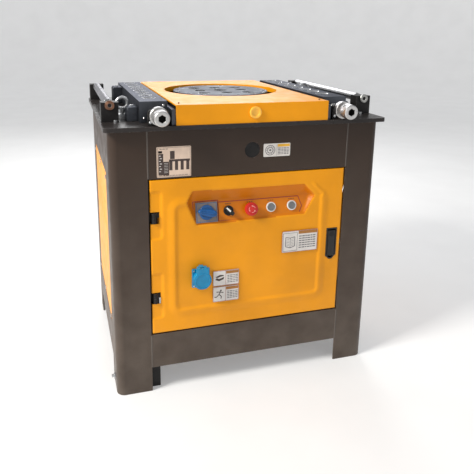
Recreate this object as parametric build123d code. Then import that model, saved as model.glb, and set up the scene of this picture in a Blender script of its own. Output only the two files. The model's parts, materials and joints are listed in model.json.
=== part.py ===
from build123d import *
import os
from math import acos, atan, cos, degrees, hypot, pi, radians, sin, tan

# Steel bar bending machine: a floor-standing cabinet with a turning work disc on its table,
# a sliding strip of stop holes on each side of the disc, and a roller beside each strip.
# Millimetres. X is to the operator's right, Y away from the operator, Z up from the floor.
# The shapes are drawn with the work disc's axis at X 0, Y 0, and moved back by CENTRE_Y at the
# end, so that the origin is under the middle of the machine's box.

# ---- driving dimensions -------------------------------------------------------------------
WIDTH = 820  # over the corner posts
DEPTH = 646
TABLE_TOP = 820
DISC_TO_FRONT = 340  # disc axis to the front face of the posts
TABLE_T = 12
SHEET = 5  # posts and rails
SKIN = 2.5  # door and panels
POST = 106
POST_BEND = 25
TOP_RAIL = 139
BOTTOM_RAIL_LOW, BOTTOM_RAIL_HIGH = 80, 189
RAIL_DEPTH = 20
DOOR_GAP = 4
RUN = 0.05  # running clearance on a radius
FREE = 0.3  # gap between sliding faces

DISC_R, DISC_LOW, DISC_HIGH = 160, 830, 874
DISC_BORE_R, PIN_BORE_R = 23, 20
PIN_CIRCLES = (72, 105)
RIM_HOLES, RIM_HOLE_R, RIM_CIRCLE = 16, 6, 146
COVER_W, COVER_TOP, COVER_T, COVER_OPENING_R = 452, 876.4, 4, 190

STRIP_X, STRIP_W, STRIP_L, STRIP_HIGH = 277, 78, 556, 880
STRIP_HOLES, STRIP_PITCH, STRIP_HOLE_R = 8, 64, 17
SCREW_X, SCREW_Z, SCREW_R, SCREW_HEAD_R, HEX = 273.5, 848, 12, 21.5, 19
ROLLER_X, ROLLER_Z, ROLLER_R, ROLLER_L = 394, 868, 13, 473
EYES = ((-352, -190), (352, 95))  # ring bolts, front left and rear right

STAGE_TEETH = (17, 68)  # pinion and wheel of every stage
MODULES = (3, 4, 5)  # first, second and last stage
SHAFT_TURN = (60, 100, 200)  # direction from each shaft to the next one up the train, degrees
PULLEY_R, MOTOR_PULLEY_R = 80, 40
MOTOR_XY = (110, 160)
MOTOR_R = 100

# ---- derived places -----------------------------------------------------------------------
SIDE = WIDTH / 2
FRONT = -DISC_TO_FRONT
BACK = DEPTH - DISC_TO_FRONT
MID_Y = (FRONT + BACK) / 2
UNDER_TABLE = TABLE_TOP - TABLE_T
OPEN_X = SIDE - POST  # half width of the opening between the posts
OPEN_LOW = BOTTOM_RAIL_HIGH
OPEN_HIGH = UNDER_TABLE - TOP_RAIL
DOOR_X = OPEN_X - DOOR_GAP
DOOR_LOW, DOOR_HIGH = OPEN_LOW + DOOR_GAP, OPEN_HIGH - DOOR_GAP + 1
DOOR_T = 12  # depth of the door's turned edge
PANEL_LOW, PANEL_HIGH, PANEL_X = 266, 583, 223  # raised field of the door
RAISE = 3

# fittings and holes
PLUG_Z, PLUG_R = 738, 23
COVER_PLUG_Z = 850
TABLE_X, TABLE_FRONT, TABLE_BACK = SIDE + 11.6, FRONT - 20, BACK + 12
COVER_FRONT = FRONT - 17.4
BOSS_R = 74
SIDE_LOUVRES, SIDE_LOUVRE_PITCH, SIDE_LOUVRE_Z = 8, 36, 520
REAR_SLOTS, REAR_SLOT_LOW, REAR_SLOT_PITCH = 8, 340, 22
GLAND_X, GLAND_Z, GLAND_R, GLAND_BORE_R, GLAND_OUT = -230, 230, 12, 7.5, 22
ROLLER_FRONT, BRACKET_T, BRACKET_HIGH, JOURNAL_R = FRONT + 115, 39, 876, 8
BRACKET_HALF = 24
EYE_Z, EYE_RING_R, EYE_WIRE_R, EYE_SHANK_R = 864, 16, 4.5, 6
STRIP_FRONT, STRIP_FIRST, SCREW_ROOM, SCREW_END = 45, 132, 66, 81
LOW_GUIDE, TALL_GUIDE = (FRONT + 82, FRONT + 136, 860), (FRONT + 480, FRONT + 540, 875)
EARTH_STUD = (FRONT + 50, 40)

# drive and motor
WHEEL_HOLES = 6
CASE_X, CASE_Y = (-362, 197), (-235, 262)
BELT_LOW, BELT_HIGH, BELT_Z, GROOVE_H, GROOVE, BELT_T = 560, 608, (573, 595), 13, 11, 8
MOTOR_PLATE, MOTOR_LOW, MOTOR_FINS, ROTOR_R, FAN_BLADES = (-5, 215, 38, 262), 225, 24, 55, 7

# door and what it carries
RECESS_OUTLINE = ((-178, 626), (-196, 593), (-165, 521), (174, 529), (206, 586), (170, 623.5))
RECESS_LOW, RECESS_DEEP, RECESS_HIGH = 518, 590, 630  # heights of the V's lower edge, bottom, top
RECESS_STEP, RECESS_DEPTH = 3, 20  # depth at the lower edge and at the bottom of the V
CONTROLS_X = [67 * i for i in range(-2, 3)]
PANEL_TILT = atan((RECESS_DEPTH - RECESS_STEP) / (RECESS_DEEP - RECESS_LOW))
PANEL_MID_Z = 556
PANEL_MID_Y = FRONT + RECESS_STEP + (PANEL_MID_Z - RECESS_LOW) * tan(PANEL_TILT)
PANEL = Plane(
    (0, PANEL_MID_Y, PANEL_MID_Z), x_dir=(1, 0, 0), z_dir=(0, -cos(PANEL_TILT), sin(PANEL_TILT))
)
HINGE_AXIS, HINGE_Z, HINGE_POCKET_X = (-289, FRONT + 3), (305.5, 554), -267
LATCH_X, LATCH_Z = 270, 422
LEVER_Y, LEVER_Z = FRONT + 2.5, LATCH_Z - 38
SOCKET_X, SOCKET_Z = -155, 360
FLAP_Y, FLAP_Z = FRONT - RAISE - 14, 396

SCREW_TIP = FRONT - 70  # the screw heads are the machine's foremost points
CENTRE_Y = -(SCREW_TIP + BACK - 1 + GLAND_OUT) / 2  # brings the middle of the box over the origin

# gear levels, from the lowest stage to the output wheel
LEVELS = ((645, 669), (676, 716), (724, 780))
CASE_LOW, CASE_HIGH = 618, UNDER_TABLE
WALL = 12


def toward(start, angle, distance):
    """The point at a distance from start, in the direction of angle degrees."""
    return (start[0] + distance * cos(radians(angle)), start[1] + distance * sin(radians(angle)))


def centres(module):
    return module * sum(STAGE_TEETH) / 2


MAIN = (0, 0)
SECOND = toward(MAIN, SHAFT_TURN[2], centres(MODULES[2]))
FIRST = toward(SECOND, SHAFT_TURN[1], centres(MODULES[1]))
INPUT = toward(FIRST, SHAFT_TURN[0], centres(MODULES[0]))


# ---- shared shapes ------------------------------------------------------------------------
def block(x0, x1, y0, y1, z0, z1):
    """A box between two corners, given in either order."""
    size = (abs(x1 - x0), abs(y1 - y0), abs(z1 - z0))
    return Pos((x0 + x1) / 2, (y0 + y1) / 2, (z0 + z1) / 2) * Box(*size)


def upright(place, radius, z0, z1):
    """A cylinder along Z."""
    return Pos(place[0], place[1], (z0 + z1) / 2) * Cylinder(radius, z1 - z0)


def along_y(x, z, radius, y0, y1):
    return Pos(x, (y0 + y1) / 2, z) * Rot(90, 0, 0) * Cylinder(radius, y1 - y0)


def along_x(y, z, radius, x0, x1):
    return Pos((x0 + x1) / 2, y, z) * Rot(0, 90, 0) * Cylinder(radius, x1 - x0)


def hexagon_y(x, z, across, y0, y1):
    """A hexagonal prism along Y."""
    outline = Pos(x, y1, z) * Rot(90, 0, 0) * RegularPolygon(across / 2, 6, major_radius=False)
    return extrude(outline, y1 - y0, dir=(0, -1, 0))


def face_x(points, x0, x1):
    """An outline of (y, z) points, pushed from x0 to x1."""
    outline = Plane((x0, 0, 0), x_dir=(0, 1, 0), z_dir=(1, 0, 0)) * Polygon(*points, align=None)
    return extrude(outline, x1 - x0, dir=(1, 0, 0))


def flipped(shape):
    """The same shape on the other side of the machine."""
    return mirror(shape, about=Plane.YZ)


def both_sides(shape):
    return [shape, flipped(shape)]


def channel_x(x0, x1, y_out, inward, z0, z1):
    """A rail along X: a web with its top and bottom edges turned inward."""
    web = block(x0, x1, y_out, y_out + inward * RAIL_DEPTH, z0, z1)
    y_in = y_out + inward * SHEET
    return web - block(x0, x1, y_in, y_out + inward * 2 * RAIL_DEPTH, z0 + SHEET, z1 - SHEET)


def channel_y(y0, y1, x_out, inward, z0, z1):
    web = block(x_out, x_out + inward * RAIL_DEPTH, y0, y1, z0, z1)
    x_in = x_out + inward * SHEET
    return web - block(x_in, x_out + inward * 2 * RAIL_DEPTH, y0, y1, z0 + SHEET, z1 - SHEET)


# ---- cabinet ------------------------------------------------------------------------------
def corner_post():
    """The left front post: an L of bent sheet with a large outer bend, from the floor up."""
    low = (Align.MIN, Align.MIN)
    outer = Rectangle(POST, POST, align=low)
    outer = fillet(outer.vertices().sort_by(lambda v: v.X + v.Y)[0], POST_BEND)
    inner = Pos(SHEET, SHEET) * Rectangle(POST, POST, align=low)
    inner = fillet(inner.vertices().sort_by(lambda v: v.X + v.Y)[0], POST_BEND - SHEET)
    return Pos(-SIDE, FRONT, 0) * extrude(outer - inner, UNDER_TABLE)


def posts():
    middle = Plane(origin=(0, MID_Y, 0), z_dir=(0, 1, 0))
    left = corner_post()
    right = flipped(left)
    return {
        "post_front_left": [left],
        "post_front_right": [right],
        "post_rear_left": [mirror(left, about=middle)],
        "post_rear_right": [mirror(right, about=middle)],
    }


def front_rails():
    top = channel_x(-OPEN_X, OPEN_X, FRONT, 1, OPEN_HIGH, UNDER_TABLE)
    top -= along_y(0, PLUG_Z, PLUG_R, FRONT - 1, FRONT + SHEET + 1)
    return [top, channel_x(-OPEN_X, OPEN_X, FRONT, 1, BOTTOM_RAIL_LOW, BOTTOM_RAIL_HIGH)]


def rear_rails():
    top = channel_x(-OPEN_X, OPEN_X, BACK, -1, OPEN_HIGH, UNDER_TABLE)
    return [top, channel_x(-OPEN_X, OPEN_X, BACK, -1, BOTTOM_RAIL_LOW, BOTTOM_RAIL_HIGH)]


def side_rails(side):
    y0, y1 = FRONT + POST, BACK - POST
    spans = ((OPEN_HIGH, UNDER_TABLE), (BOTTOM_RAIL_LOW, BOTTOM_RAIL_HIGH))
    return [channel_y(y0, y1, side * SIDE, -side, low, high) for low, high in spans]


def louvre_y(y):
    """One slanted slot for air in the left side panel."""
    return Pos(-SIDE + 1, y, SIDE_LOUVRE_Z) * Rot(18, 0, 0) * Box(4 * SKIN, 6, 90)


def side_panels():
    """A screwed-on sheet fills each side opening, set back a little from the posts."""
    y0, y1 = FRONT + POST, BACK - POST
    sheet = block(-SIDE + 1, -SIDE + 1 + SKIN, y0 + 1, y1 - 1, OPEN_LOW + 1, OPEN_HIGH - 1)
    for i in range(SIDE_LOUVRES):
        sheet -= louvre_y(MID_Y + SIDE_LOUVRE_PITCH * (i - (SIDE_LOUVRES - 1) / 2))
    return both_sides(sheet)


def rear_panel():
    """The sheet over the rear opening, with air slots behind the motor and the cable's hole."""
    y1 = BACK - 1
    sheet = block(-OPEN_X + 1, OPEN_X - 1, y1 - SKIN, y1, OPEN_LOW + 1, OPEN_HIGH - 1)
    for i in range(REAR_SLOTS):
        z = REAR_SLOT_LOW + REAR_SLOT_PITCH * i
        sheet -= block(MOTOR_XY[0] - 80, MOTOR_XY[0] + 80, y1 - 9, y1 + 9, z, z + 7)
    return [sheet - along_y(GLAND_X, GLAND_Z, GLAND_R, y1 - 9, y1 + 9)]


def cable_gland():
    """The screwed gland of the supply lead: body, lock nut inside and clamping nut outside."""
    y1 = BACK - 1
    body = along_y(GLAND_X, GLAND_Z, GLAND_R, y1 - SKIN - 12, y1 + GLAND_OUT)
    body += hexagon_y(GLAND_X, GLAND_Z, 2 * GLAND_R + 7, y1, y1 + 6)
    body += hexagon_y(GLAND_X, GLAND_Z, 2 * GLAND_R + 5, y1 + 10, y1 + 20)
    body += hexagon_y(GLAND_X, GLAND_Z, 2 * GLAND_R + 7, y1 - SKIN - 5, y1 - SKIN)
    return [body - along_y(GLAND_X, GLAND_Z, GLAND_BORE_R, y1 - 30, y1 + 30)]


def table_plate():
    """The steel table, with the hole that the gear case's boss comes up through."""
    plate = block(-TABLE_X, TABLE_X, TABLE_FRONT, TABLE_BACK, UNDER_TABLE, TABLE_TOP)
    for place in EYES:
        plate -= upright(place, EYE_SHANK_R, UNDER_TABLE - 1, TABLE_TOP + 1)
    return [plate - upright(MAIN, BOSS_R + 1, UNDER_TABLE - 1, TABLE_TOP + 1)]


def table_cover():
    """The folded cover around the disc: a top sheet, a front and a rear apron, and a collar."""
    x = COVER_W / 2
    cover = block(-x, x, COVER_FRONT, BACK, TABLE_TOP, COVER_TOP)
    cover -= block(-x, x, COVER_FRONT + COVER_T, BACK - COVER_T, TABLE_TOP, COVER_TOP - COVER_T)
    cover += upright(MAIN, COVER_OPENING_R + COVER_T, COVER_TOP - 16, COVER_TOP - COVER_T)
    cover -= upright(MAIN, COVER_OPENING_R, TABLE_TOP, COVER_TOP + 1)
    return [cover - along_y(0, COVER_PLUG_Z, 12, COVER_FRONT - 1, COVER_FRONT + COVER_T + 1)]


def hole_plugs():
    """The ribbed plug in the cover's apron and the black plug in the top rail."""
    ring = along_y(0, COVER_PLUG_Z, 17, COVER_FRONT - 6, COVER_FRONT)
    ring -= along_y(0, COVER_PLUG_Z, 10, COVER_FRONT - 7, COVER_FRONT - 3)
    ring += along_y(0, COVER_PLUG_Z, 12, COVER_FRONT, COVER_FRONT + COVER_T + 3)
    cap = along_y(0, PLUG_Z, PLUG_R, FRONT + 1, FRONT + SHEET)
    cap += along_y(0, PLUG_Z, PLUG_R + 3, FRONT + SHEET, FRONT + SHEET + 2)
    return [ring, cap]


# ---- table fittings -----------------------------------------------------------------------
def guides():
    """Bars that the strips slide between: one long inner bar and two outer blocks a side."""
    outer = STRIP_X + STRIP_W / 2 + FREE
    inner = STRIP_X - STRIP_W / 2 - FREE
    bar = block(-inner, -inner + 18, COVER_FRONT + 6, BACK - 6, TABLE_TOP, 864)
    made = both_sides(bar)
    for y0, y1, high in (LOW_GUIDE, TALL_GUIDE):
        one = block(-outer - 30, -outer, y0, y1, TABLE_TOP, high)
        top_edges = one.edges().filter_by(Axis.Y).group_by(Axis.Z)[-1]
        made += both_sides(chamfer(top_edges.sort_by(Axis.X)[0], 5))
    return made


def screw_bearings():
    """A bracket on the table's front edge holds each adjusting screw."""
    y0, y1 = FRONT - 8, FRONT + 8
    left = block(-SCREW_X - 28, -SCREW_X + 28, y0, y1, TABLE_TOP, 863)
    corners = left.edges().filter_by(Axis.Y).group_by(Axis.Z)[-1]
    left = fillet(corners, 10) - along_y(-SCREW_X, SCREW_Z, SCREW_R + RUN, y0 - 1, y1 + 1)
    return both_sides(left)


def roller_brackets():
    """Four blocks carry the rollers' journals."""
    made = []
    for y0 in (ROLLER_FRONT - BRACKET_T, ROLLER_FRONT + ROLLER_L):
        x0, x1 = -ROLLER_X - BRACKET_HALF, -ROLLER_X + BRACKET_HALF
        one = block(x0, x1, y0, y0 + BRACKET_T, TABLE_TOP, BRACKET_HIGH)
        one -= along_y(-ROLLER_X, ROLLER_Z, JOURNAL_R + RUN, y0 - 1, y0 + BRACKET_T + 1)
        made += both_sides(one)
    return made


def roller(side):
    """A plain steel roller with journals, and a collar that shows at its front end."""
    x, y0, y1 = side * ROLLER_X, ROLLER_FRONT + FREE, ROLLER_FRONT + ROLLER_L - FREE
    body = along_y(x, ROLLER_Z, ROLLER_R, y0, y1)
    body += along_y(x, ROLLER_Z, JOURNAL_R, y0 - BRACKET_T - 2, y1 + BRACKET_T)
    front = ROLLER_FRONT - BRACKET_T - FREE
    body += along_y(x, ROLLER_Z, ROLLER_R, front - 5, front)
    return [body - along_y(x, ROLLER_Z, 5, front - 6, front + 12)]


def lifting_eyes():
    """Two ring bolts, front left and rear right, that a sling is hooked to."""
    made = []
    for x, y in EYES:
        ring = Pos(x, y, EYE_Z) * Rot(90, 0, 0) * Torus(EYE_RING_R, EYE_WIRE_R)
        shank = upright((x, y), EYE_SHANK_R, UNDER_TABLE, EYE_Z - 13)
        collar = upright((x, y), 11, 838, 846)
        nut = Pos(x, y, TABLE_TOP) * extrude(RegularPolygon(12, 6, major_radius=False), 12)
        made.append(ring + shank + collar + nut)
    return made


def strip(side):
    """A sliding bar with a row of through holes, tapped at its front for the adjusting screw."""
    x, y0 = side * STRIP_X, FRONT + STRIP_FRONT
    half = STRIP_W / 2
    bar = block(x - half, x + half, y0, y0 + STRIP_L, TABLE_TOP + FREE, STRIP_HIGH)
    for i in range(STRIP_HOLES):
        place = (x, FRONT + STRIP_FIRST + STRIP_PITCH * i)
        bar -= upright(place, STRIP_HOLE_R, TABLE_TOP - 1, STRIP_HIGH + 1)
        bar -= Pos(*place, STRIP_HIGH - 1.5) * Cone(STRIP_HOLE_R, STRIP_HOLE_R + 3, 3)
    return [bar - along_y(side * SCREW_X, SCREW_Z, SCREW_R + FREE, y0 - 1, y0 + SCREW_ROOM)]


def screw(side):
    """An adjusting screw: round head with a hexagon socket, a collar, and a threaded shank."""
    x = side * SCREW_X
    body = along_y(x, SCREW_Z, SCREW_R, FRONT - 35, FRONT + SCREW_END)
    body += along_y(x, SCREW_Z, SCREW_HEAD_R, SCREW_TIP, FRONT - 35)
    body += along_y(x, SCREW_Z, 25, FRONT - 24, FRONT - 8 - FREE)
    body += along_y(x, SCREW_Z, 17, FRONT + 8 + FREE, FRONT + 13)
    return [body - hexagon_y(x, SCREW_Z, HEX, SCREW_TIP - 1, SCREW_TIP + 18)]


# ---- drive --------------------------------------------------------------------------------
def gear(place, level, module, teeth, tooth_angle, bore):
    """A spur gear whose flanks are flat chords of the involute, one tooth at tooth_angle."""
    pitch_r = module * teeth / 2
    base_r = pitch_r * cos(radians(20))
    radii = (pitch_r - 1.25 * module, pitch_r, pitch_r + module)
    slack = 0.25 / pitch_r  # half of the gap between teeth that are in mesh

    def unrolled(r):
        """The involute's polar angle at radius r."""
        pressure = acos(min(1, base_r / r))
        return tan(pressure) - pressure

    half = [pi / (2 * teeth) + unrolled(pitch_r) - unrolled(r) - slack for r in radii]
    half[0] = min(half[0], pi / teeth * 0.9)
    points = []
    for i in range(teeth):
        middle = radians(tooth_angle) + 2 * pi * i / teeth
        flank = [(r, middle - h) for r, h in zip(radii, half)]
        flank += [(r, middle + h) for r, h in zip(reversed(radii), reversed(half))]
        points += [(r * cos(a), r * sin(a)) for r, a in flank]
    low, high = level
    wheel = Pos(place[0], place[1], low) * extrude(Polygon(*points, align=None), high - low)
    return wheel - upright(place, bore, low - 1, high + 1) if bore else wheel


def wheel(place, level, module, from_angle, bore):
    """A large wheel, a gap between two teeth facing back at the pinion, lightened by holes."""
    teeth = STAGE_TEETH[1]
    made = gear(place, level, module, teeth, from_angle + 180 / teeth, bore)
    for i in range(WHEEL_HOLES):
        hole = toward(place, 360 * i / WHEEL_HOLES, module * teeth * 0.31)
        made -= upright(hole, module * teeth * 0.075, level[0] - 1, level[1] + 1)
    return [made]


def pinion_shaft(place, level, module, to_angle, radius, low, high):
    """A shaft with its pinion cut on it, one tooth facing the wheel that it drives."""
    teeth = gear(place, level, module, STAGE_TEETH[0], to_angle, 0)
    return [teeth + upright(place, radius, low, high)]


def drive_shafts():
    """Three reductions of 4 to 1: input pinion, first wheel, second wheel, output wheel."""
    to_first = SHAFT_TURN[0] + 180
    to_second = SHAFT_TURN[1] + 180
    to_main = SHAFT_TURN[2] + 180
    low, high = CASE_LOW + 2, CASE_HIGH - 6
    levels = [(a - 1, b + 1) for a, b in LEVELS]
    return {
        "input_shaft": pinion_shaft(INPUT, levels[0], MODULES[0], to_first, 15, BELT_LOW - 6, high),
        "first_shaft": pinion_shaft(FIRST, levels[1], MODULES[1], to_second, 15, low, high),
        "first_gear": wheel(FIRST, LEVELS[0], MODULES[0], SHAFT_TURN[0], 15),
        "second_shaft": pinion_shaft(SECOND, levels[2], MODULES[2], to_main, 20, low, high),
        "second_gear": wheel(SECOND, LEVELS[1], MODULES[1], SHAFT_TURN[1], 20),
        "output_gear": wheel(MAIN, LEVELS[2], MODULES[2], SHAFT_TURN[2], 35),
        "main_shaft": main_shaft(),
    }


def main_shaft():
    """The spindle under the disc, bored at its top for the centre pin."""
    body = upright(MAIN, 35, CASE_LOW + 30, DISC_LOW - 6) + upright(MAIN, 48, DISC_LOW - 6, DISC_LOW)
    body += upright(MAIN, 30, CASE_LOW + 2, CASE_LOW + 30)
    return [body - upright(MAIN, DISC_BORE_R, DISC_LOW - 45, DISC_LOW + 1)]


def work_disc():
    """The bored disc that bends the bar round its centre pin."""
    disc = upright(MAIN, DISC_R, DISC_LOW, DISC_HIGH)
    disc = chamfer(disc.edges().filter_by(GeomType.CIRCLE), 1.5)
    disc -= upright(MAIN, DISC_BORE_R, DISC_LOW - 1, DISC_HIGH + 1)
    for ring, radius in enumerate(PIN_CIRCLES):
        for i in range(4):
            place = toward(MAIN, 90 * i + 45 * ring, radius)
            disc -= upright(place, PIN_BORE_R, DISC_LOW - 1, DISC_HIGH + 1)
    for i in range(RIM_HOLES):
        place = toward(MAIN, 6.5 + 360 * i / RIM_HOLES, RIM_CIRCLE)
        disc -= upright(place, RIM_HOLE_R, DISC_HIGH - 25, DISC_HIGH + 1)
    return [disc]


def bearing_seats():
    """Each rolling bearing of the case: place, outer radius, bore radius, low and high level."""
    seats = [(MAIN, 65, 35, 788, 818), (MAIN, 55, 30, 622, 642)]
    for place, outer, bore in ((SECOND, 40, 20), (FIRST, 31, 15), (INPUT, 31, 15)):
        seats += [(place, outer, bore, 786, CASE_HIGH - 4), (place, outer, bore, CASE_LOW, 636)]
    return seats


def shaft_bearings():
    made = []
    for place, outer, bore, low, high in bearing_seats():
        ring = upright(place, outer, low, high)
        made.append(ring - upright(place, bore + RUN, low - 1, high + 1))
    return made


def seat_boss(shape, inner_only):
    """Adds the bosses of the top wall or of the bottom lid to a shape and bores their seats."""
    for place, outer, bore, low, high in bearing_seats():
        if (low > 700) != inner_only:
            continue
        shape += upright(place, outer + 9, low, max(high, shape_top(inner_only)))
        shape -= upright(place, outer, low - 1, high)
        shape -= upright(place, bore + 3, low - 30, high + 30)
    return shape


def shape_top(inner_only):
    return CASE_HIGH if inner_only else CASE_LOW + WALL


def gear_case():
    """The cast case under the table, open below, with a boss up through the table."""
    outer = block(CASE_X[0], CASE_X[1], CASE_Y[0], CASE_Y[1], CASE_LOW + WALL, CASE_HIGH)
    outer = fillet(outer.edges().filter_by(Axis.Z), 40)
    w = WALL
    room = block(CASE_X[0] + w, CASE_X[1] - w, CASE_Y[0] + w, CASE_Y[1] - w, CASE_LOW, CASE_HIGH - w)
    room = fillet(room.edges().filter_by(Axis.Z), 28)
    return [seat_boss(outer - room, True)]


def gear_case_lid():
    """The lid that closes the case from below and holds the lower bearings."""
    lid = block(CASE_X[0], CASE_X[1], CASE_Y[0], CASE_Y[1], CASE_LOW, CASE_LOW + WALL)
    return [seat_boss(fillet(lid.edges().filter_by(Axis.Z), 40), False)]


def motor_mount():
    """The plate that the motor hangs from, on four spacers under the gear case."""
    x0, x1, y0, y1 = MOTOR_PLATE
    plate = block(x0, x1, y0, y1, BELT_LOW - 20, BELT_LOW - 10)
    plate -= upright(MOTOR_XY, 30, BELT_LOW - 21, BELT_LOW - 9)
    for x in (x0 + 12, x1 - 32):
        for y in (y0 + 12, y1 - 12):
            plate += upright((x, y), 8, BELT_LOW - 10, CASE_LOW)
    return [plate]


def motor_shell():
    """The finned motor body hanging from its flange, and the fan cowl below it."""
    top = BELT_LOW - 20
    body = upright(MOTOR_XY, MOTOR_R - 10, MOTOR_LOW + 60, top - 10)
    body += upright(MOTOR_XY, MOTOR_R, top - 10, top)
    for i in range(MOTOR_FINS):
        fin = Pos(MOTOR_R - 10, 0, (MOTOR_LOW + 70 + top - 20) / 2) * Box(18, 3, top - MOTOR_LOW - 90)
        body += Pos(*MOTOR_XY, 0) * Rot(0, 0, 360 * i / MOTOR_FINS) * fin
    x, y = MOTOR_XY
    body += block(x - 35, x + 35, y - 140, y - 60, 400, 480)
    body -= upright(MOTOR_XY, ROTOR_R + 1, MOTOR_LOW + 68, top - 20)
    body -= upright(MOTOR_XY, 14 + RUN, MOTOR_LOW + 50, top + 1)
    cowl = upright(MOTOR_XY, MOTOR_R, MOTOR_LOW, MOTOR_LOW + 60 - FREE)
    cowl -= upright(MOTOR_XY, MOTOR_R - 2, MOTOR_LOW + 2, MOTOR_LOW + 60)
    for i in range(4):
        cowl -= upright(MOTOR_XY, 25 + 18 * i, MOTOR_LOW - 1, MOTOR_LOW + 3) - cowl_web(17 + 18 * i)
    return [body, cowl]


def cowl_web(radius):
    """What stays between the cowl's ring slots: the disc inside a slot and a cross of webs."""
    disc = upright(MOTOR_XY, radius, MOTOR_LOW - 2, MOTOR_LOW + 4)
    x, y = MOTOR_XY
    cross = block(x - 100, x + 100, y - 6, y + 6, MOTOR_LOW - 2, MOTOR_LOW + 4)
    return disc + cross + block(x - 6, x + 6, y - 100, y + 100, MOTOR_LOW - 2, MOTOR_LOW + 4)


def motor_rotor():
    """Motor shaft with its rotor core and the fan at its lower end."""
    body = upright(MOTOR_XY, 14, MOTOR_LOW + 8, BELT_HIGH + 2)
    body += upright(MOTOR_XY, ROTOR_R, MOTOR_LOW + 80, BELT_LOW - 50)
    body += upright(MOTOR_XY, 30, MOTOR_LOW + 12, MOTOR_LOW + 42)
    for i in range(FAN_BLADES):
        blade = Pos(55, 0, MOTOR_LOW + 27) * Box(60, 3, 30)
        body += Pos(*MOTOR_XY, 0) * Rot(0, 0, 360 * i / FAN_BLADES) * blade
    return [body]


def pulley(place, radius, bore):
    """A two-groove V-belt pulley."""
    body = upright(place, radius, BELT_LOW, BELT_HIGH)
    for z in BELT_Z:
        ring = Cylinder(radius + 1, GROOVE_H) - Cylinder(radius - GROOVE, GROOVE_H)
        body -= Pos(*place, z) * ring
    return [body - upright(place, bore, BELT_LOW - 1, BELT_HIGH + 1)]


def belt(z):
    """One belt: a closed loop that wraps both pulleys, clear of their grooves."""
    x0, y0 = INPUT
    x1, y1 = MOTOR_XY
    span = hypot(x1 - x0, y1 - y0)
    big, small = PULLEY_R - GROOVE + FREE, MOTOR_PULLEY_R - GROOVE + FREE
    loops = []
    for extra in (BELT_T, 0):
        loops.append(belt_face(span, big + extra, small + extra))
    ring = extrude(loops[0] - loops[1], GROOVE_H - 2 * FREE)
    heading = degrees(atan((y1 - y0) / (x1 - x0)))
    return Pos(x0, y0, z - GROOVE_H / 2 + FREE) * Rot(0, 0, heading) * ring


def belt_face(span, big, small):
    """The outline round two circles whose centres are span apart along X."""
    lean = acos((big - small) / span)
    tip_a = (big * cos(lean), big * sin(lean))
    tip_b = (span + small * cos(lean), small * sin(lean))
    upper = Line(tip_a, tip_b)
    lower = Line((tip_b[0], -tip_b[1]), (tip_a[0], -tip_a[1]))
    nose = ThreePointArc(tip_b, (span + small, 0), (tip_b[0], -tip_b[1]))
    tail = ThreePointArc((tip_a[0], -tip_a[1]), (-big, 0), tip_a)
    return make_face([upper, nose, lower, tail])


# ---- electrical parts inside --------------------------------------------------------------
def electrical_plate():
    """The mounting plate on the left wall, with two rails for the control gear."""
    x0 = -SIDE + 24
    plate = block(x0, x0 + 3, -220, 180, 230, 560)
    for z in (300, 450):
        plate += block(x0 + 3, x0 + 10, -200, 160, z, z + 35)
    for y in (-210, 170):
        for z in (240, 550):
            plate += along_x(y, z, 5, -SIDE + 1 + SKIN, x0)
    return [plate]


def control_gear():
    """Two contactors, a timer relay, a transformer and a row of terminals."""
    x0 = -SIDE + 34
    made = [block(x0, x0 + 85, y, y + 45, 425, 510) for y in (-190, -135)]
    made.append(block(x0, x0 + 70, -75, -40, 435, 500))
    made.append(block(x0, x0 + 75, 20, 110, 425, 500))
    made.append(block(x0, x0 + 40, -190, 60, 295, 340))
    return made


# ---- door ---------------------------------------------------------------------------------
def recess_room(grow):
    """The V-shaped pocket of the control recess: long bevel above, sloping panel below."""
    front, deep = FRONT - RAISE - 1, FRONT + RECESS_DEPTH + grow
    outline = Polygon(*RECESS_OUTLINE, align=None)
    if grow:
        outline = offset(outline, grow, kind=Kind.INTERSECTION)
    slab = extrude(Plane((0, front, 0), x_dir=(1, 0, 0), z_dir=(0, -1, 0)) * outline, 60, dir=(0, 1, 0))
    top = (FRONT + grow, RECESS_HIGH - 3 + grow)
    bottom = (FRONT + RECESS_STEP + grow, RECESS_LOW)
    section = [(front, RECESS_HIGH + grow), top, (deep, RECESS_DEEP), bottom, (front, RECESS_LOW)]
    return slab & face_x(section, -260, 260)


def door_panel():
    """The pressed door: turned edges, a raised field, two hinge recesses and four openings."""
    s, back = SKIN, FRONT + DOOR_T
    door = block(-DOOR_X, DOOR_X, FRONT, back, DOOR_LOW, DOOR_HIGH)
    door -= block(-DOOR_X + s, DOOR_X - s, FRONT + s, back, DOOR_LOW + s, DOOR_HIGH - s)
    door += block(-PANEL_X, PANEL_X, FRONT - RAISE, FRONT + s, PANEL_LOW, PANEL_HIGH)
    x, front = PANEL_X - s, FRONT - RAISE + s
    door -= block(-x, x, front, FRONT + s, PANEL_LOW + s, PANEL_HIGH - s)
    door -= recess_room(0)
    for z in HINGE_Z:
        low, high = z - 63, z + 78
        door += block(-DOOR_X, HINGE_POCKET_X + s, FRONT, FRONT + RAISE + s, low - s, high + s)
        door -= block(-DOOR_X - 1, HINGE_POCKET_X, FRONT - 1, FRONT + RAISE, low, high)
        door -= block(-DOOR_X - 1, -274, FRONT - 1, back + 1, z - 18, z + 18)
    door -= block(LATCH_X - 16, LATCH_X + 16, FRONT - 1, back, LATCH_Z - 50, LATCH_Z + 50)
    door -= block(DOOR_X - s - 1, DOOR_X + 1, FRONT + 5.2, back + 1, LATCH_Z - 11, LATCH_Z + 11)
    return [door - along_y(SOCKET_X, SOCKET_Z, 20.5, FRONT - 9, FRONT + 9)]


def control_tray():
    """The bent sheet behind the recess, welded in the door, holed for the five controls."""
    tray = recess_room(SKIN) - recess_room(0)
    tray &= block(-240, 240, FRONT + SKIN, FRONT + 60, 500, 660)
    for x in CONTROLS_X:
        tray -= PANEL * (Pos(x, 0, 0) * Cylinder(13, 30))
    return [tray]


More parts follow.
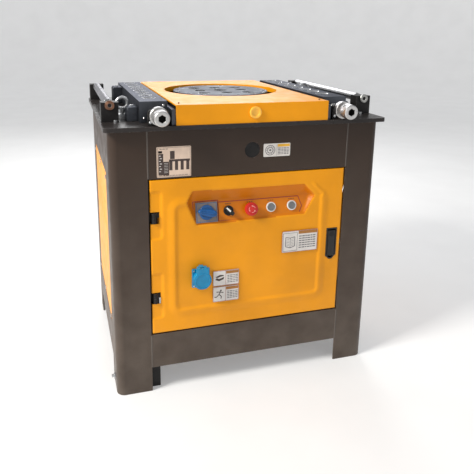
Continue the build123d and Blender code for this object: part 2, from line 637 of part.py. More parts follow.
def on_panel(x, radius, low, high):
    """A cylinder that stands on the sloping control panel, from low to high above it."""
    return PANEL * (Pos(x, 0, (low + high) / 2) * Cylinder(radius, high - low))


def panel_box(x, wide, tall, low, high):
    return PANEL * (Pos(x, 0, (low + high) / 2) * Box(wide, tall, high - low))


def switch_bodies():
    """The fixed halves of the five controls: square plate, bezels, tubes and contact blocks."""
    made = []
    for x in CONTROLS_X:
        body = on_panel(x, 13, -28, FREE) + panel_box(x, 34, 40, -66, -28)
        if x == CONTROLS_X[0]:
            body += panel_box(x, 66, 60, FREE / 2, 4)
            inner = 6 + RUN
        else:
            body += on_panel(x, 15, FREE / 2, 5)
            inner = 11.2 + FREE
        made.append(body - on_panel(x, inner, -26, 9))
    return made


def main_switch():
    """The rotary handle of the main switch, with its spindle."""
    x = CONTROLS_X[0]
    knob = on_panel(x, 6, -24, 6) + on_panel(x, 22, 4 + FREE, 9)
    return [knob + PANEL * (Pos(x, 0, 14) * Rot(0, 0, -12) * Box(52, 15, 14))]


def selector():
    """The two-way selector: a round knob with a finger bar."""
    x = CONTROLS_X[1]
    knob = on_panel(x, 11.2, -20, 7)
    return [knob + PANEL * (Pos(x, 0, 11) * Rot(0, 0, 45) * Box(9, 28, 11))]


def e_stop():
    """The mushroom button."""
    x = CONTROLS_X[2]
    head = on_panel(x, 20, 12, 24)
    rim = head.edges().filter_by(GeomType.CIRCLE).sort_by(Axis.Y)[0]
    return [on_panel(x, 11.2, -20, 12) + fillet(rim, 5)]


def push_button(x):
    return [on_panel(x, 11.2, -20, 7)]


def door_hinges():
    """The door's halves of the two hinges: a knuckle over the pin and a leaf behind the skin."""
    made = []
    for z in HINGE_Z:
        one = upright(HINGE_AXIS, 7, z + 0.2, z + 15)
        one += block(HINGE_AXIS[0], -255, FRONT + RAISE + SKIN, FRONT + 10, z + 0.2, z + 15)
        one += block(-273, -250, FRONT + RAISE + SKIN, FRONT + 10, z - 15, z + 15)
        made.append(one - upright(HINGE_AXIS, 3.5 + RUN, z - 16, z + 16))
    return made


def hinge_bar():
    """A flat bar behind the front left post carries the frame's halves of the hinges."""
    x0, x1, y0, y1 = -OPEN_X, -OPEN_X + 28, FRONT + RAIL_DEPTH, FRONT + RAIL_DEPTH + 10
    bar = block(x0, x1, y0, y1, 0, UNDER_TABLE)
    for z in HINGE_Z:
        bar += upright(HINGE_AXIS, 7, z - 15, z) + upright(HINGE_AXIS, 3.5, z, z + 15)
        bar += block(HINGE_AXIS[0] - 3, HINGE_AXIS[0] + 3, HINGE_AXIS[1] + 4, y0, z - 15, z)
    return [bar]


def latch_housing():
    """The flush case of the door latch, with a slot for its tongue."""
    x0, x1, z0, z1 = LATCH_X - 16, LATCH_X + 16, LATCH_Z - 50, LATCH_Z + 50
    case = block(x0, x1, FRONT - 1, FRONT + 20, z0, z1)
    case += block(x0 - 2, x1 + 2, FRONT - 2, FRONT, z0 - 2, z1 + 2)
    case -= block(x0 + 3, x1 - 3, FRONT - 3, FRONT + 17, z0 + 3, z1 - 3)
    return [case - block(x0 + 5, x1 + 1, FRONT + 4.8, FRONT + 14, LATCH_Z - 10.5, LATCH_Z + 10.5)]


def latch_lever():
    """The lift-out lever, turning on a cross pin at its lower end."""
    half = 13 - FREE
    lever = block(LATCH_X - half, LATCH_X + half, FRONT - 3, FRONT + 2, LEVER_Z, LATCH_Z + 46.7)
    return [lever + along_x(LEVER_Y, LEVER_Z, 6, LATCH_X - half, LATCH_X + half)]


def latch_tongue():
    """The bolt that reaches behind the post's edge."""
    y = FRONT + 5.3
    return [block(LATCH_X + 1, OPEN_X + 12, y, y + 8, LATCH_Z - 10, LATCH_Z + 10)]


def socket_body():
    """The appliance inlet: square flange, collar, and a tube through the door."""
    face = FRONT - RAISE
    body = block(SOCKET_X - 26.5, SOCKET_X + 26.5, face - 6, face, SOCKET_Z - 29, SOCKET_Z + 29)
    body += along_y(SOCKET_X, SOCKET_Z, 24, face - 20, face - 6)
    body += along_y(SOCKET_X, SOCKET_Z, 20, face, FRONT + 45)
    body -= along_y(SOCKET_X, SOCKET_Z, 19, face - 21, FRONT + 30)
    body += along_y(SOCKET_X, SOCKET_Z, 9, face - 8, FRONT + 32)
    return [body + block(SOCKET_X - 6, SOCKET_X + 6, FLAP_Y - 3.5, face, FLAP_Z - 3.5, FLAP_Z + 3.5)]


def socket_flap():
    """The sprung lid of the inlet, hinged above it."""
    face = FRONT - RAISE - 20 - FREE
    lid = along_y(SOCKET_X, SOCKET_Z, 27, face - 8, face)
    lid += block(SOCKET_X - 18, SOCKET_X + 18, face - 8, face, SOCKET_Z, FLAP_Z + 2)
    for side in (-1, 1):
        x0, x1 = sorted((SOCKET_X + side * (6 + FREE), SOCKET_X + side * 14))
        lid += along_x(FLAP_Y, FLAP_Z, 5, x0, x1)
        lid += block(x0, x1, face - 8, FLAP_Y, FLAP_Z - 4, FLAP_Z + 4)
    return [lid]


def door_labels():
    """The adhesive labels on the door and the outlined plate on the control panel."""
    face = FRONT - RAISE
    made = [block(-116.5, -35, face - 0.4, face, z, z + 49) for z in (324, 272)]
    made.append(block(102, 226 - 6, face - 0.4, face, 408, 477.5))
    return made


def rail_labels():
    """The data plate and the instruction label on the top rail."""
    plate = block(-279, -182, FRONT - 0.8, FRONT, 673, 760)
    return [plate, block(34, 117.5, FRONT - 0.4, FRONT, 715, 754)]


# ---- screws -------------------------------------------------------------------------------
def socket_screw(x, y, z, radius, height):
    """The head of a hexagon-socket screw standing on a surface."""
    head = upright((x, y), radius, z, z + height)
    socket = Pos(x, y, z + height / 3) * extrude(RegularPolygon(radius / 2, 6, major_radius=False), height)
    return head - socket


def table_screws():
    """Screw heads on the table: beside the roller brackets and on the guide blocks."""
    made = []
    bracket_x, guide_x = -ROLLER_X + 14, -STRIP_X - STRIP_W / 2 - 14
    for y in (ROLLER_FRONT - BRACKET_T - 8, ROLLER_FRONT + ROLLER_L + BRACKET_T + 8):
        made += both_sides(socket_screw(bracket_x, y, TABLE_TOP, 6, 7))
    for y0, y1, high in (LOW_GUIDE, TALL_GUIDE):
        made += both_sides(socket_screw(guide_x, (y0 + y1) / 2, high, 5, 4))
    return made + case_screws()


def case_screws():
    """The screws that hold the gear case up against the table, under the cover."""
    x = CASE_X[1] - 20
    return [socket_screw(x, y, TABLE_TOP, 9, 5) for y in (CASE_Y[0] + 25, CASE_Y[1] - 25)]


def panel_screws():
    """Button-head screws that hold the side panels and the rear panel, and the earth stud."""
    made = []
    for y in (FRONT + POST + 16, MID_Y, BACK - POST - 16):
        for z in (OPEN_LOW + 16, OPEN_HIGH - 16):
            for side in (-1, 1):
                x = side * (SIDE - 1)
                made.append(along_x(y, z, 6, min(x, x + side * 3), max(x, x + side * 3)))
    for x in (-OPEN_X + 16, 0, OPEN_X - 16):
        for z in (OPEN_LOW + 16, OPEN_HIGH - 16):
            made.append(along_y(x, z, 6, BACK - 1, BACK + 2))
    stud = along_x(*EARTH_STUD, 5, -TABLE_X, -SIDE)
    return made + [stud + along_x(*EARTH_STUD, 9, -SIDE - 5, -SIDE)]


def assembly():
    parts = posts()
    parts.update(drive_shafts())
    parts.update(
        hinge_bar=hinge_bar(),
        front_rails=front_rails(),
        rear_rails=rear_rails(),
        side_rails=side_rails(-1) + side_rails(1),
        side_panels=side_panels(),
        rear_panel=rear_panel(),
        cable_gland=cable_gland(),
        table_plate=table_plate(),
        table_cover=table_cover(),
        hole_plugs=hole_plugs(),
        strip_guides=guides(),
        screw_bearings=screw_bearings(),
        roller_brackets=roller_brackets(),
        left_roller=roller(-1),
        right_roller=roller(1),
        lifting_eyes=lifting_eyes(),
        left_strip=strip(-1),
        right_strip=strip(1),
        left_screw=screw(-1),
        right_screw=screw(1),
        work_disc=work_disc(),
        shaft_bearings=shaft_bearings(),
        gear_case=gear_case(),
        gear_case_lid=gear_case_lid(),
        motor_mount=motor_mount(),
        motor_shell=motor_shell(),
        motor_rotor=motor_rotor(),
        large_pulley=pulley(INPUT, PULLEY_R, 15),
        small_pulley=pulley(MOTOR_XY, MOTOR_PULLEY_R, 14),
        v_belts=[belt(z) for z in BELT_Z],
        electrical_plate=electrical_plate(),
        control_gear=control_gear(),
        door_panel=door_panel(),
        control_tray=control_tray(),
        switch_bodies=switch_bodies(),
        main_switch=main_switch(),
        selector=selector(),
        e_stop=e_stop(),
        inner_button=push_button(CONTROLS_X[3]),
        outer_button=push_button(CONTROLS_X[4]),
        door_hinges=door_hinges(),
        latch_housing=latch_housing(),
        latch_lever=latch_lever(),
        latch_tongue=latch_tongue(),
        socket_body=socket_body(),
        socket_flap=socket_flap(),
        door_labels=door_labels(),
        rail_labels=rail_labels(),
        frame_screws=table_screws() + panel_screws(),
    )
    return parts


def write(parts):
    os.makedirs("parts", exist_ok=True)
    for name, pieces in parts.items():
        solids = [solid for piece in pieces for solid in piece.solids()]
        shape = solids[0] if len(solids) == 1 else Compound(solids)
        export_step(Pos(0, CENTRE_Y, 0) * shape, os.path.join("parts", name + ".step"))


write(assembly())
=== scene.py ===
import json
import math

import bmesh
import bpy
from mathutils import Matrix, Vector

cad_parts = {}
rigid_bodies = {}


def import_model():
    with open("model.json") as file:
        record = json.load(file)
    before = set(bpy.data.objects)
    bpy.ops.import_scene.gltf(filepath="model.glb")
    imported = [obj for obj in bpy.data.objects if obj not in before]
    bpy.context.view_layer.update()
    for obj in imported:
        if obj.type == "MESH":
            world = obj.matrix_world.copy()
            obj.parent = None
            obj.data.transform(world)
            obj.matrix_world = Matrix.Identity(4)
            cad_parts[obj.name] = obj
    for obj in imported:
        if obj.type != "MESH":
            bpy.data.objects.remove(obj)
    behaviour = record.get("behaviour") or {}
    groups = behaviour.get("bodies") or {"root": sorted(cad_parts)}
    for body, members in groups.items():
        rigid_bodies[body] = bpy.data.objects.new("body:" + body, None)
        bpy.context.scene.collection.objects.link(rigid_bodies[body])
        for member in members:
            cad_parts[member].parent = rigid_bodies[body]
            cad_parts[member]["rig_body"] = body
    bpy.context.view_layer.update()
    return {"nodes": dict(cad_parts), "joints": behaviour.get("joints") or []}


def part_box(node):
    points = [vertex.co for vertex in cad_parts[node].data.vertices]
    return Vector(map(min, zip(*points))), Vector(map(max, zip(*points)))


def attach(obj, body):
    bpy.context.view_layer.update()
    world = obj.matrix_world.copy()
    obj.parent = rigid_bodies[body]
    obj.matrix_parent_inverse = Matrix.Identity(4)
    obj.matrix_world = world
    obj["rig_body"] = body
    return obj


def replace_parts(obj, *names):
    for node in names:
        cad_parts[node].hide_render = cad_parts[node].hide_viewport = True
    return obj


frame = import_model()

MM = 0.001


# ---- places that come from the frame --------------------------------------------------------
def joint(name):
    return next(j for j in frame["joints"] if j["name"] == name)


def middle(node):
    low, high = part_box(node)
    return (Vector(low) + Vector(high)) / 2


def placed(name, data):
    """A new object in the scene."""
    made = bpy.data.objects.new(name, data)
    bpy.context.scene.collection.objects.link(made)
    return made


DOOR_LOW, DOOR_HIGH = (Vector(corner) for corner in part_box("door_panel"))
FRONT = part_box("front_rails")[0][1]
PANEL_OUT = Vector(joint("main_switch_turn")["axis"]).normalized()
PANEL_UP = PANEL_OUT.cross(Vector((1, 0, 0)))
PANEL_MID = Vector(joint("main_switch_turn")["pos_m"])
PANEL_MID.x = 0


def panel_place(x):
    """A matrix that stands a piece on the sloping control panel: local X right, Y up, Z out."""
    turn = Matrix((Vector((1, 0, 0)), PANEL_UP, PANEL_OUT)).transposed().to_4x4()
    return Matrix.Translation(PANEL_MID + Vector((x, 0, 0))) @ turn


def facing_front(x, y, z):
    """A matrix with local X right, Y up and Z towards the operator."""
    turn = Matrix((Vector((1, 0, 0)), Vector((0, 0, 1)), Vector((0, -1, 0)))).transposed().to_4x4()
    return Matrix.Translation((x, y, z)) @ turn


# ---- materials ------------------------------------------------------------------------------
class Nodes:
    """A new material and short ways to add nodes to it."""

    def __init__(self, name):
        self.material = bpy.data.materials.new(name)
        self.material.use_nodes = True
        self.tree = self.material.node_tree
        self.shader = self.tree.nodes["Principled BSDF"]
        self.place = self.add("ShaderNodeTexCoord").outputs["Object"]

    def add(self, kind, **values):
        node = self.tree.nodes.new(kind)
        for key, value in values.items():
            setattr(node, key, value)
        return node

    def join(self, source, target):
        self.tree.links.new(source, target)

    def noise(self, scale, detail=4.0, stretch=None):
        """Noise at a scale given in features per metre."""
        place = self.place
        if stretch:
            spread = self.add("ShaderNodeMapping")
            spread.inputs["Scale"].default_value = stretch
            self.join(place, spread.inputs["Vector"])
            place = spread.outputs["Vector"]
        node = self.add("ShaderNodeTexNoise")
        node.inputs["Scale"].default_value = scale
        node.inputs["Detail"].default_value = detail
        self.join(place, node.inputs["Vector"])
        return node.outputs["Fac"]

    def span(self, value, low, high, to_low=0.0, to_high=1.0):
        node = self.add("ShaderNodeMapRange")
        for key, number in zip(("From Min", "From Max", "To Min", "To Max"), (low, high, to_low, to_high)):
            node.inputs[key].default_value = number
        self.join(value, node.inputs["Value"])
        return node.outputs["Result"]

    def blend(self, amount, one, other):
        """A colour between two, each a socket or an RGB triple."""
        node = self.add("ShaderNodeMix", data_type="RGBA")
        self.join(amount, node.inputs["Factor"])
        for key, colour in (("A", one), ("B", other)):
            socket = next(s for s in node.inputs if s.name == key and s.type == "RGBA")
            if isinstance(colour, (tuple, list)):
                socket.default_value = (*colour, 1)
            else:
                self.join(colour, socket)
        return next(s for s in node.outputs if s.type == "RGBA")

    def times(self, one, other):
        node = self.add("ShaderNodeMath", operation="MULTIPLY")
        self.join(one, node.inputs[0])
        self.join(other, node.inputs[1])
        return node.outputs[0]

    def height(self):
        split = self.add("ShaderNodeSeparateXYZ")
        self.join(self.place, split.inputs[0])
        return split.outputs["Z"]

    def edges(self, radius):
        """Near 1 along outer edges, from how far a rounded normal leans off the true one."""
        soft = self.add("ShaderNodeBevel", samples=4)
        soft.inputs["Radius"].default_value = radius
        true = self.add("ShaderNodeNewGeometry").outputs["Normal"]
        dot = self.add("ShaderNodeVectorMath", operation="DOT_PRODUCT")
        self.join(soft.outputs["Normal"], dot.inputs[0])
        self.join(true, dot.inputs[1])
        return self.span(dot.outputs["Value"], 0.995, 0.85)

    def bump(self, value, strength, distance):
        node = self.add("ShaderNodeBump")
        node.inputs["Strength"].default_value = strength
        node.inputs["Distance"].default_value = distance
        self.join(value, node.inputs["Height"])
        self.join(node.outputs["Normal"], self.shader.inputs["Normal"])

    def done(self, colour, roughness, metal=0.0, coat=0.0, specular=0.5):
        self.join(colour, self.shader.inputs["Base Color"])
        self.join(roughness, self.shader.inputs["Roughness"])
        self.shader.inputs["Metallic"].default_value = metal
        self.shader.inputs["Coat Weight"].default_value = coat
        self.shader.inputs["Coat Roughness"].default_value = 0.12
        self.shader.inputs["Specular IOR Level"].default_value = specular
        return self.material


def scaled(colour, factor):
    return tuple(min(1, c * factor) for c in colour)


def paint(name, colour, worn=(0.16, 0.14, 0.13), gloss=0.28, dust=0.35, wear=0.5):
    """Sprayed enamel: patchy tone, orange peel, dust low down, chips along the edges."""
    n = Nodes(name)
    tone = n.blend(n.span(n.noise(5), 0.35, 0.65), scaled(colour, 0.9), scaled(colour, 1.08))
    low_down = n.times(n.span(n.height(), 0.75, 0.0, 0.0, dust), n.span(n.noise(14, 6), 0.3, 0.7, 0.45, 1.0))
    dusty = n.blend(low_down, tone, (0.34, 0.29, 0.24))
    chips = n.times(n.edges(0.0022), n.span(n.noise(160, 6), 0.60 - 0.1 * wear, 0.66 - 0.1 * wear))
    colour = n.blend(chips, dusty, worn)
    rough = n.span(n.noise(30, 5), 0.3, 0.7, gloss, gloss + 0.16)
    n.bump(n.noise(420, 2), 0.12, 0.0004)
    return n.done(colour, rough, coat=0.03, specular=0.22)


def steel(name, colour, rough=0.28, grain=(1, 60, 60), wear=0.25):
    """Bare steel: drawn grain along one axis, cloudy oil film, small dark spots."""
    n = Nodes(name)
    cloud = n.blend(n.span(n.noise(18, 5), 0.3, 0.7), scaled(colour, 0.78), scaled(colour, 1.12))
    stained = n.blend(n.span(n.noise(90, 8), 0.62, 0.74, 0.0, wear), cloud, (0.10, 0.07, 0.05))
    line = n.noise(24, 4, grain)
    rough_out = n.span(line, 0.3, 0.7, rough - 0.07, rough + 0.12)
    n.bump(line, 0.10, 0.0003)
    return n.done(stained, rough_out, metal=1.0)


def turned(name, colour, centre):
    """Steel faced on a lathe: fine rings round a centre, rubbed bright in patches."""
    n = Nodes(name)
    shift = n.add("ShaderNodeVectorMath", operation="SUBTRACT")
    shift.inputs[1].default_value = (centre.x, centre.y, 0)
    n.join(n.place, shift.inputs[0])
    flat = n.add("ShaderNodeVectorMath", operation="MULTIPLY")
    flat.inputs[1].default_value = (1, 1, 0)
    n.join(shift.outputs[0], flat.inputs[0])
    reach = n.add("ShaderNodeVectorMath", operation="LENGTH")
    n.join(flat.outputs[0], reach.inputs[0])
    rings = n.add("ShaderNodeTexNoise", noise_dimensions="1D")
    rings.inputs["Scale"].default_value = 900
    n.join(reach.outputs["Value"], rings.inputs["W"])
    worn = n.blend(n.span(n.noise(22, 6), 0.42, 0.68), scaled(colour, 0.75), scaled(colour, 1.7))
    pitted = n.blend(n.span(n.noise(120, 6), 0.6, 0.72, 0.0, 0.5), worn, (0.08, 0.06, 0.05))
    n.bump(rings.outputs["Fac"], 0.18, 0.0003)
    return n.done(pitted, n.span(rings.outputs["Fac"], 0.3, 0.7, 0.26, 0.46), metal=1.0)


def plastic(name, colour, rough=0.35, coat=0.0):
    """Moulded plastic: slight mottling and a fine mould texture."""
    n = Nodes(name)
    tone = n.blend(n.span(n.noise(60, 5), 0.3, 0.7), scaled(colour, 0.88), scaled(colour, 1.1))
    dirty = n.blend(n.span(n.noise(25, 6), 0.55, 0.8, 0.0, 0.25), tone, scaled(colour, 0.5))
    n.bump(n.noise(1400, 2), 0.15, 0.0002)
    return n.done(dirty, n.span(n.noise(45, 3), 0.3, 0.7, rough - 0.06, rough + 0.1), coat=coat)


def casting(name, colour):
    n = Nodes(name)
    tone = n.blend(n.span(n.noise(12, 6), 0.3, 0.7), scaled(colour, 0.7), scaled(colour, 1.25))
    n.bump(n.noise(500, 5), 0.5, 0.0012)
    return n.done(tone, n.span(n.noise(40), 0.3, 0.7, 0.5, 0.75))


def printed(name, colour):
    """Printed film: faint yellowing and scuffs under a thin gloss."""
    n = Nodes(name)
    tone = n.blend(n.span(n.noise(35, 6), 0.35, 0.7), colour, scaled(colour, 0.84))
    n.bump(n.noise(300, 2), 0.05, 0.0002)
    return n.done(tone, n.span(n.noise(80), 0.3, 0.7, 0.28, 0.45))


RECIPES = (
    (paint, "frame_paint", (0.040, 0.025, 0.0175), dict(gloss=0.36, dust=0.25)),
    (paint, "table_paint", (0.026, 0.022, 0.021), dict(gloss=0.26, dust=0.0, wear=0.9)),
    (paint, "yellow_paint", (0.80, 0.305, 0.001),
     dict(worn=(0.30, 0.15, 0.04), gloss=0.34, dust=0.06, wear=0.2)),
    # the door's yellow made darker and more orange for the control recess: painted shade
    (paint, "recess_paint", (0.62, 0.175, 0.001),
     dict(worn=(0.3, 0.17, 0.06), gloss=0.3, dust=0.03, wear=0.1)),
    (steel, "dark_steel", (0.095, 0.102, 0.117), dict(rough=0.42, grain=(60, 1, 60))),
    (steel, "bright_steel", (0.50, 0.50, 0.50), dict(rough=0.24, grain=(60, 60, 2), wear=0.1)),
    (steel, "chamfer_steel", (0.80, 0.80, 0.80), dict(rough=0.2, wear=0.05)),
    (steel, "zinc_steel", (0.60, 0.61, 0.62), dict(rough=0.3, wear=0.15)),
    (steel, "gear_steel", (0.42, 0.42, 0.40), dict(rough=0.3, wear=0.3)),
    (paint, "black_steel", (0.011, 0.010, 0.010),
     dict(worn=(0.14, 0.13, 0.12), gloss=0.40, dust=0.0, wear=0.8)),
    (casting, "cast_iron", (0.09, 0.10, 0.10), {}),
    (paint, "motor_paint", (0.06, 0.10, 0.14), dict(gloss=0.4, dust=0.1)),
    (plastic, "belt_rubber", (0.012, 0.012, 0.012), dict(rough=0.7)),
    (plastic, "black_plastic", (0.006, 0.0055, 0.005), dict(rough=0.5)),
    (plastic, "yellow_plastic", (0.88, 0.46, 0.05), dict(rough=0.35)),
    (plastic, "grey_plastic", (0.36, 0.37, 0.40), dict(rough=0.4)),
    (plastic, "blue_plastic", (0.002, 0.075, 0.25), dict(rough=0.36)),
    (plastic, "flap_plastic", (0.0, 0.215, 0.42), dict(rough=0.36)),
    (plastic, "red_plastic", (0.50, 0.012, 0.008), dict(rough=0.36)),
    (plastic, "white_plastic", (0.72, 0.72, 0.70), dict(rough=0.3, coat=0.2)),
    (plastic, "button_plastic", (0.16, 0.165, 0.17), dict(rough=0.45)),
    (plastic, "switch_plate", (0.20, 0.165, 0.15), dict(rough=0.4)),
    (steel, "satin_steel", (0.62, 0.61, 0.60), dict(rough=0.36, grain=(60, 60, 2), wear=0.12)),
    (turned, "disc_steel", (0.13, 0.14, 0.15), dict(centre=middle("work_disc"))),
    (steel, "bronze", (0.24, 0.13, 0.085), dict(rough=0.42, wear=0.3)),
    # frame paint made lighter for the weld beads: a painted highlight along the post edges
    (paint, "weld_metal", (0.095, 0.08, 0.07), dict(gloss=0.3, dust=0.1)),
    (printed, "label_grey", (0.115, 0.11, 0.12), {}),
    (printed, "label_film", (0.70, 0.66, 0.62), {}),
    (printed, "label_tan", (0.72, 0.55, 0.43), {}),
    (printed, "label_ink", (0.05, 0.03, 0.025), {}),
    (printed, "label_red", (0.28, 0.018, 0.012), {}),
    (printed, "label_amber", (0.80, 0.42, 0.03), {}),
    (printed, "label_brown", (0.38, 0.15, 0.02), {}),
    (printed, "label_rose", (0.80, 0.30, 0.27), {}),
    # near-black: the real black rubber cap in the top rail, and also painted shade as linings in the screw
    # sockets and roller bores
    (plastic, "dark_hole", (0.006, 0.005, 0.005), dict(rough=0.8)),
)
MATERIALS = {name: kind(name, colour, **more) for kind, name, colour, more in RECIPES}
# how much of the light that grazes a bare metal comes back
EDGE_TINTS = {
    "disc_steel": 0.50, "dark_steel": 0.55, "satin_steel": 0.85, "bright_steel": 0.7, "gear_steel": 0.6,
}
for tinted, edge in EDGE_TINTS.items():
    tint = MATERIALS[tinted].node_tree.nodes["Principled BSDF"].inputs["Specular Tint"]
    tint.default_value = (edge, edge, edge * 1.05, 1)


# ---- building pieces ------------------------------------------------------------------------
CREASE = math.radians(32)


def piece(name, mesh, material, body):
    """A new object that rides on a body."""
    made = placed(name, mesh)
    inner = [face.material_index for face in mesh.polygons]
    mesh.materials.clear()
    mesh.materials.append(MATERIALS[material])
    mesh.polygons.foreach_set("material_index", inner)
    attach(made, body)
    return made


def as_mesh(name, bm):
    """A mesh of a bmesh, which is freed."""
    mesh = bpy.data.meshes.new(name)
    bm.to_mesh(mesh)
    bm.free()
    return mesh


def shade(mesh, crease=CREASE):
    mesh.shade_smooth()
    mesh.set_sharp_from_angle(angle=crease)


def evaluated(carrier):
    """The mesh that an object's modifiers make; the object itself goes."""
    graph = bpy.context.evaluated_depsgraph_get()
    made = bpy.data.meshes.new_from_object(carrier.evaluated_get(graph))
    bpy.data.objects.remove(carrier)
    return made


def to_mesh(name, bm, matrix=None):
    """Ends a bmesh: outward faces, smooth shading with creases at real edges."""
    if matrix:
        bm.transform(matrix)
    bmesh.ops.recalc_face_normals(bm, faces=bm.faces)
    mesh = as_mesh(name, bm)
    shade(mesh)
    return mesh


def rounded(mesh, width, segments=2):
    """The mesh with its sharp edges rounded and its flat faces shaded flat."""
    carrier = placed("carrier", mesh)
    mesh.shade_smooth()
    bevel = carrier.modifiers.new("round", "BEVEL")
    bevel.width = width
    bevel.segments = segments
    bevel.limit_method = "ANGLE"
    bevel.angle_limit = CREASE
    bevel.use_clamp_overlap = True
    carrier.modifiers.new("normals", "WEIGHTED_NORMAL").keep_sharp = True
    return evaluated(carrier)


def node_mesh(node):
    """A copy of a CAD node's surface with its flat faces made whole."""
    bm = bmesh.new()
    bm.from_mesh(frame["nodes"][node].data)
    bmesh.ops.remove_doubles(bm, verts=bm.verts, dist=1e-6)
    bmesh.ops.dissolve_limit(bm, angle_limit=math.radians(0.4), verts=bm.verts, edges=bm.edges)
    return as_mesh(node + "_soft", bm)


def body_of_node(node):
    return frame["nodes"][node]["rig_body"]


def soften(node, material, width, segments=2):
    """Replaces a CAD node with the same shape, its edges rounded as on the real piece."""
    mesh = rounded(node_mesh(node), width * MM, segments)
    made = piece(node + "_shell", mesh, material, body_of_node(node))
    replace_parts(made, node)


def dress(node, material):
    """Gives a CAD node its material as it stands."""
    mesh = frame["nodes"][node].data
    mesh.materials.clear()
    mesh.materials.append(MATERIALS[material])
    shade(mesh)


def lathe(profile, steps=64, wobble=None, caps="both"):
    """A turned shape about local Z from (radius, height) points in millimetres.

    wobble(angle, radius, height) may move radii; caps says which ends of the profile are closed.
    """
    bm = bmesh.new()
    rings = []
    for radius, height in profile:
        ring = []
        for i in range(steps):
            angle = 2 * math.pi * i / steps
            r = MM * (wobble(angle, radius, height) if wobble else radius)
            ring.append(bm.verts.new((r * math.cos(angle), r * math.sin(angle), height * MM)))
        rings.append(ring)
    for one, other in zip(rings, rings[1:]):
        for i in range(steps):
            bm.faces.new((one[i], one[i - 1], other[i - 1], other[i]))
    if caps == "both":
        bm.faces.new(rings[0])
    if caps != "none":
        bm.faces.new(rings[-1])
    return bm


def components(node):
    """A CAD node's separate solids, as meshes, from left to right."""
    bm = bmesh.new()
    bm.from_mesh(node_mesh(node))
    bm.verts.ensure_lookup_table()
    left, groups = set(bm.verts), []
    while left:
        seed = left.pop()
        found, front = {seed}, [seed]
        while front:
            near = {e.other_vert(v) for v in front for e in v.link_edges} - found
            found |= near
            front = list(near)
        left -= found
        groups.append(sorted(v.index for v in found))
    meshes = []
    for group in groups:
        part, keep = bm.copy(), set(group)
        part.verts.ensure_lookup_table()
        bmesh.ops.delete(part, geom=[v for v in part.verts if v.index not in keep], context="VERTS")
        meshes.append(as_mesh(node, part))
    bm.free()
    return sorted(meshes, key=lambda m: round(sum(v.co.x for v in m.vertices) / len(m.vertices), 3))


def soften_each(node, materials, widths):
    """Replaces a CAD node of several solids by one softened piece a solid, from left to right."""
    made = []
    for i, (mesh, material, width) in enumerate(zip(components(node), materials, widths)):
        soft = rounded(mesh, width * MM, 3)
        made.append(piece(f"{node}_{i + 1}", soft, material, body_of_node(node)))
    for one in made:
        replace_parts(one, node)


def slab(bm, points, z0, z1):
    """Adds a flat shape: an outline in local X and Y, in millimetres, from height z0 to z1."""
    low = [bm.verts.new((x * MM, y * MM, z0 * MM)) for x, y in points]
    high = [bm.verts.new((x * MM, y * MM, z1 * MM)) for x, y in points]
    bm.faces.new(low)
    bm.faces.new(high)
    for i in range(len(points)):
        bm.faces.new((low[i - 1], low[i], high[i], high[i - 1]))


def patch(bm, x0, y0, x1, y1, z0=0.0, z1=0.12):
    slab(bm, [(x0, y0), (x1, y0), (x1, y1), (x0, y1)], z0, z1)


def stroke(bm, a, b, width, z0=0.0, z1=0.12):
    """Adds a straight line of a width between two points."""
    dx, dy = b[0] - a[0], b[1] - a[1]
    reach = math.hypot(dx, dy)
    nx, ny = -dy / reach * width / 2, dx / reach * width / 2
    ends = [(end[0] + s * nx, end[1] + s * ny) for end, s in ((a, 1), (a, -1), (b, -1), (b, 1))]
    slab(bm, ends, z0, z1)


def outline(bm, points, width, z0=0.0, z1=0.12):
    for a, b in zip(points, points[1:] + points[:1]):
        stroke(bm, a, b, width, z0, z1)


def round_point(radius, angle, centre=(0, 0)):
    return centre[0] + radius * math.cos(angle), centre[1] + radius * math.sin(angle)


def disc_shape(radius, steps, centre):
    return [round_point(radius, 2 * math.pi * i / steps, centre) for i in range(steps)]


def drawn(name, draw, material, place, body):
    """A thin printed or moulded shape, drawn by a function into local X and Y."""
    bm = bmesh.new()
    draw(bm)
    return piece(name, to_mesh(name, bm, place), material, body)


def turned_piece(name, profile, material, place, body, steps=48, caps="both"):
    """A lathe shape from (radius, height) points in millimetres, stood on a place."""
    points = [(max(r, 0.02), h) for r, h in profile]
    return piece(name, to_mesh(name, lathe(points, steps, None, caps), place), material, body)


# ---- sheet metal ----------------------------------------------------------------------------
def cabinet():
    for corner in ("front_left", "front_right", "rear_left", "rear_right"):
        soften("post_" + corner, "frame_paint", 1.2)
    for node in ("front_rails", "rear_rails", "side_rails"):
        soften(node, "frame_paint", 1.2)
    soften("hinge_bar", "black_steel", 0.8)
    soften("side_panels", "yellow_paint", 0.8)
    soften("rear_panel", "yellow_paint", 0.8)
    table()
    soften("table_cover", "yellow_paint", 3.0, 4)


def table():
    """The table plate with its four corners rounded in plan."""
    low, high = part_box("table_plate")
    bm = bmesh.new()
    bm.from_mesh(node_mesh("table_plate"))
    near = 0.1 * MM

    def at_corner(v):
        across = min(abs(v.co.x - low.x), abs(v.co.x - high.x))
        along = min(abs(v.co.y - low.y), abs(v.co.y - high.y))
        return across < near and along < near

    upright = [e for e in bm.edges if abs(e.verts[0].co.z - e.verts[1].co.z) > 5 * MM]
    corners = [e for e in upright if all(at_corner(v) for v in e.verts)]
    bmesh.ops.bevel(bm, geom=corners, offset=14 * MM, segments=6, profile=0.5, affect="EDGES")
    made = piece("table_top", rounded(as_mesh("table_top", bm), 1.6 * MM, 3), "table_paint", "frame")
    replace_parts(made, "table_plate")


